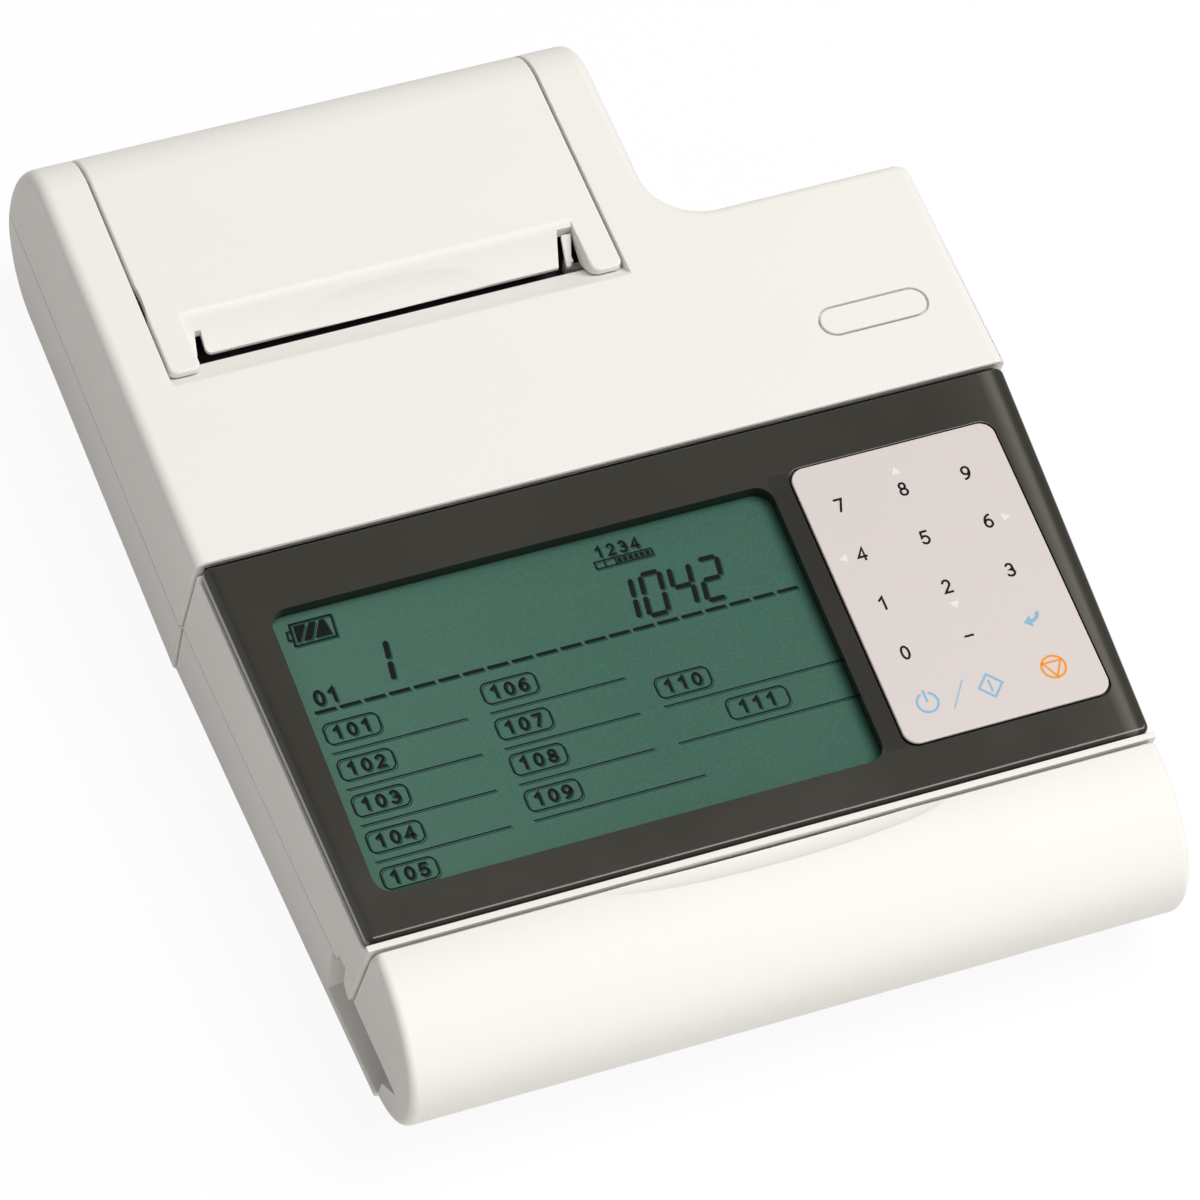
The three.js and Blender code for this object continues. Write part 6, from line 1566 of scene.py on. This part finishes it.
class ANALYZER_OT_front_case(PieceOperator, bpy.types.Operator):
    """Builds the two shells of the front body"""
    bl_idname = "analyzer.front_case"
    bl_label = "Front case"

    def execute(self, context):
        finished(front_upper_shell(), "front_upper_shell", "case", "white_case", "front_upper_case")
        finished(front_lower_shell(), "front_lower_shell", "case", "white_case", "front_lower_case")
        return {"FINISHED"}


class ANALYZER_OT_drawer(PieceOperator, bpy.types.Operator):
    """Builds the rounded drawer front"""
    bl_idname = "analyzer.drawer"
    bl_label = "Drawer front"

    def execute(self, context):
        finished(drawer_front_shell(), "drawer_front_shell", "drawer", "white_case", "drawer_front")
        return {"FINISHED"}


class ANALYZER_OT_panel(PieceOperator, bpy.types.Operator):
    """Builds the dark panel and what the display shows"""
    bl_idname = "analyzer.panel"
    bl_label = "Panel and display"

    def execute(self, context):
        colours = context.scene.analyzer_colours
        finished(display_panel_plate(), "panel_plate", "case", "dark_panel", "display_panel")
        marks = laid(display_marks(), LCD_TOP + 0.02, LCD_TOP + 0.05)
        shade = laid(display_marks(), LCD_TOP, LCD_TOP + 0.01, MARK_SHADOW)
        finished(marks, "display_segments", "case", "display_green",
                 material=ink("Display segments", colours.display_dark))
        finished(shade, "display_shadows", "case", "display_green",
                 material=ink("Display shadow", scaled((*colours.display_green, 1), SHADOW_SHADE)[:3]))
        return {"FINISHED"}


class ANALYZER_OT_key_field(PieceOperator, bpy.types.Operator):
    """Builds the key field and its printed marks"""
    bl_idname = "analyzer.key_field"
    bl_label = "Key field"

    def execute(self, context):
        colours = context.scene.analyzer_colours
        finished(key_sheet_plate(), "key_plate", "case", "key_field", "key_sheet")
        for name, solids in key_legends().items():
            color = getattr(colours, name.removeprefix("legend_"))
            finished(laid(solids, KEYPAD_TOP, KEYPAD_TOP + INK), name, "case", "key_field",
                     material=ink(name, color))
        return {"FINISHED"}


class ANALYZER_OT_finishes(PieceOperator, bpy.types.Operator):
    """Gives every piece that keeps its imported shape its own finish"""
    bl_idname = "analyzer.finishes"
    bl_label = "Inner finishes"

    def execute(self, context):
        for name, piece in frame["nodes"].items():
            if piece.hide_render:
                continue
            piece.data.materials.clear()
            piece.data.materials.append(finish(NODE_SLOTS[name]))
        return {"FINISHED"}


CAMERA_AXES = ((0.928998, -0.356479, 0.099429), (0.241999, 0.788405, 0.565557),
               (-0.279999, -0.501339, 0.818694))
CAMERA_PLACE = Vector((-0.281459, -0.509102, 0.829802))
# Name, its power setting, place, point aimed at, size, colour
LAMPS = (("Key light", "key_power", (0.68, -0.15, 1.6), (0, 0, 0.02), (1.1, 1.1), (1.0, 0.98, 0.965)),
         ("Front light", "front_power", (0.1, -1.6, 0.07), (0, -0.05, 0.02), (1.6, 0.14),
          (1.0, 0.985, 0.975)),
         ("Side light", "side_power", (-1.3, 0.2, 1.1), (0, 0, 0.02), (1.0, 1.0), (1.0, 0.955, 0.945)))
FLOOR_PALE = ((0.93, 0.93, 0.93, 1), (0.95, 0.95, 0.95, 1))
FLOOR_BOUNCE = (0.5, 0.485, 0.475, 1)
FLOOR_GLOW = 0.92


def area_lamp(name, power, place, aim, size, color):
    """A soft rectangular lamp aimed at a point."""
    light = bpy.data.lights.new(name, "AREA")
    light.shape = "RECTANGLE"
    light.size, light.size_y = size
    light.energy = power
    light.color = color
    lamp = bpy.data.objects.new(name, light)
    bpy.context.scene.collection.objects.link(lamp)
    lamp.location = place
    lamp.rotation_euler = (Vector(aim) - Vector(place)).to_track_quat("-Z", "Y").to_euler()


def any_ray(tree, *kinds):
    """A mask of the kinds of ray that look at the background or the floor."""
    rays = tree.nodes.new("ShaderNodeLightPath")
    mask = rays.outputs[kinds[0]]
    for kind in kinds[1:]:
        mask = math_node(tree, "MAXIMUM", mask, rays.outputs[kind])
    return mask


def floor_material():
    """Near white where it is seen, mid grey for the light that it sends back."""
    material = bpy.data.materials.new("Pale floor")
    material.use_nodes = True
    tree = material.node_tree
    tree.nodes.clear()
    spot = tree.nodes.new("ShaderNodeTexCoord").outputs["Object"]
    clouds = added(tree, "ShaderNodeTexNoise", Vector=spot, Scale=14.0, Detail=3.0)
    seen = added(tree, "ShaderNodeBsdfDiffuse", Color=mixed(tree, clouds.outputs["Fac"], *FLOOR_PALE))
    glow = added(tree, "ShaderNodeEmission", Color=(1, 1, 1, 1))
    bounce = added(tree, "ShaderNodeBsdfDiffuse", Color=FLOOR_BOUNCE)
    pale, chosen = (tree.nodes.new("ShaderNodeMixShader") for side in range(2))
    direct = any_ray(tree, "Is Camera Ray", "Is Glossy Ray", "Is Transmission Ray")
    for mix, values in ((pale, (FLOOR_GLOW, seen.outputs[0], glow.outputs[0])),
                        (chosen, (direct, bounce.outputs[0], pale.outputs[0]))):
        for socket, value in zip(mix.inputs, values):
            feed(tree, socket, value)
    out = tree.nodes.new("ShaderNodeOutputMaterial")
    tree.links.new(chosen.outputs[0], out.inputs["Surface"])
    return material


class ANALYZER_OT_stage(PieceOperator, bpy.types.Operator):
    """Sets up the floor, the soft light and the camera"""
    bl_idname = "analyzer.stage"
    bl_label = "Stage"

    def execute(self, context):
        scene = context.scene
        sizes, light = scene.analyzer_sizes, scene.analyzer_light
        bm = bmesh.new()
        bmesh.ops.create_grid(bm, x_segments=1, y_segments=1, size=sizes.floor_width / 2)
        mesh = bpy.data.meshes.new("floor")
        bm.to_mesh(mesh)
        bm.free()
        floor = bpy.data.objects.new("floor", mesh)
        scene.collection.objects.link(floor)
        mesh.materials.append(floor_material())
        for name, power, *rest in LAMPS:
            area_lamp(name, getattr(light, power), *rest)
        world = bpy.data.worlds.new("Studio")
        scene.world = world
        world.use_nodes = True
        tree = world.node_tree
        ground = tree.nodes["Background"]
        direct = any_ray(tree, "Is Camera Ray", "Is Transmission Ray")
        strength = math_node(tree, "MULTIPLY_ADD", direct, 1 - light.ambient, light.ambient)
        tree.links.new(strength, ground.inputs["Strength"])
        ground.inputs["Color"].default_value = (1, 1, 1, 1)
        data = bpy.data.cameras.new("Camera")
        data.sensor_width = 36.0
        data.lens = sizes.lens
        data.clip_end = 20.0
        camera = bpy.data.objects.new("Camera", data)
        scene.collection.objects.link(camera)
        camera.matrix_world = Matrix.Translation(CAMERA_PLACE) @ Matrix(CAMERA_AXES).transposed().to_4x4()
        scene.camera = camera
        scene.view_settings.view_transform = "Standard"
        return {"FINISHED"}


BUILD_ORDER = ("stage", "rear_case", "printer_cover", "front_case", "drawer", "panel", "key_field",
               "finishes")


class ANALYZER_PT_sidebar(bpy.types.Panel):
    """Lists the pieces of the analyzer in the 3D view's sidebar"""
    bl_idname = "ANALYZER_PT_sidebar"
    bl_label = "Desk strip analyzer"
    bl_space_type = "VIEW_3D"
    bl_region_type = "UI"
    bl_category = "Analyzer"

    def draw(self, context):
        for name in BUILD_ORDER:
            self.layout.operator(f"analyzer.{name}")
        scene = context.scene
        for group in (scene.analyzer_sizes, scene.analyzer_colours, scene.analyzer_light):
            box = self.layout.box()
            for key in group.bl_rna.properties.keys():
                if key not in {"rna_type", "name"}:
                    box.prop(group, key)


CLASSES = (AnalyzerSizes, AnalyzerColours, AnalyzerLight, ANALYZER_OT_rear_case, ANALYZER_OT_printer_cover,
           ANALYZER_OT_front_case, ANALYZER_OT_drawer, ANALYZER_OT_panel, ANALYZER_OT_key_field,
           ANALYZER_OT_finishes, ANALYZER_OT_stage, ANALYZER_PT_sidebar)


def register():
    """Registers the classes and their settings."""
    for item in CLASSES:
        bpy.utils.register_class(item)
    bpy.types.Scene.analyzer_sizes = bpy.props.PointerProperty(type=AnalyzerSizes)
    bpy.types.Scene.analyzer_colours = bpy.props.PointerProperty(type=AnalyzerColours)
    bpy.types.Scene.analyzer_light = bpy.props.PointerProperty(type=AnalyzerLight)


def unregister():
    """Takes the settings and classes away again."""
    del bpy.types.Scene.analyzer_light
    del bpy.types.Scene.analyzer_colours
    del bpy.types.Scene.analyzer_sizes
    for item in reversed(CLASSES):
        bpy.utils.unregister_class(item)


def main():
    """Builds the stage and every piece."""
    register()
    for name in BUILD_ORDER:
        getattr(bpy.ops.analyzer, name)()


if __name__ == "__main__":
    main()
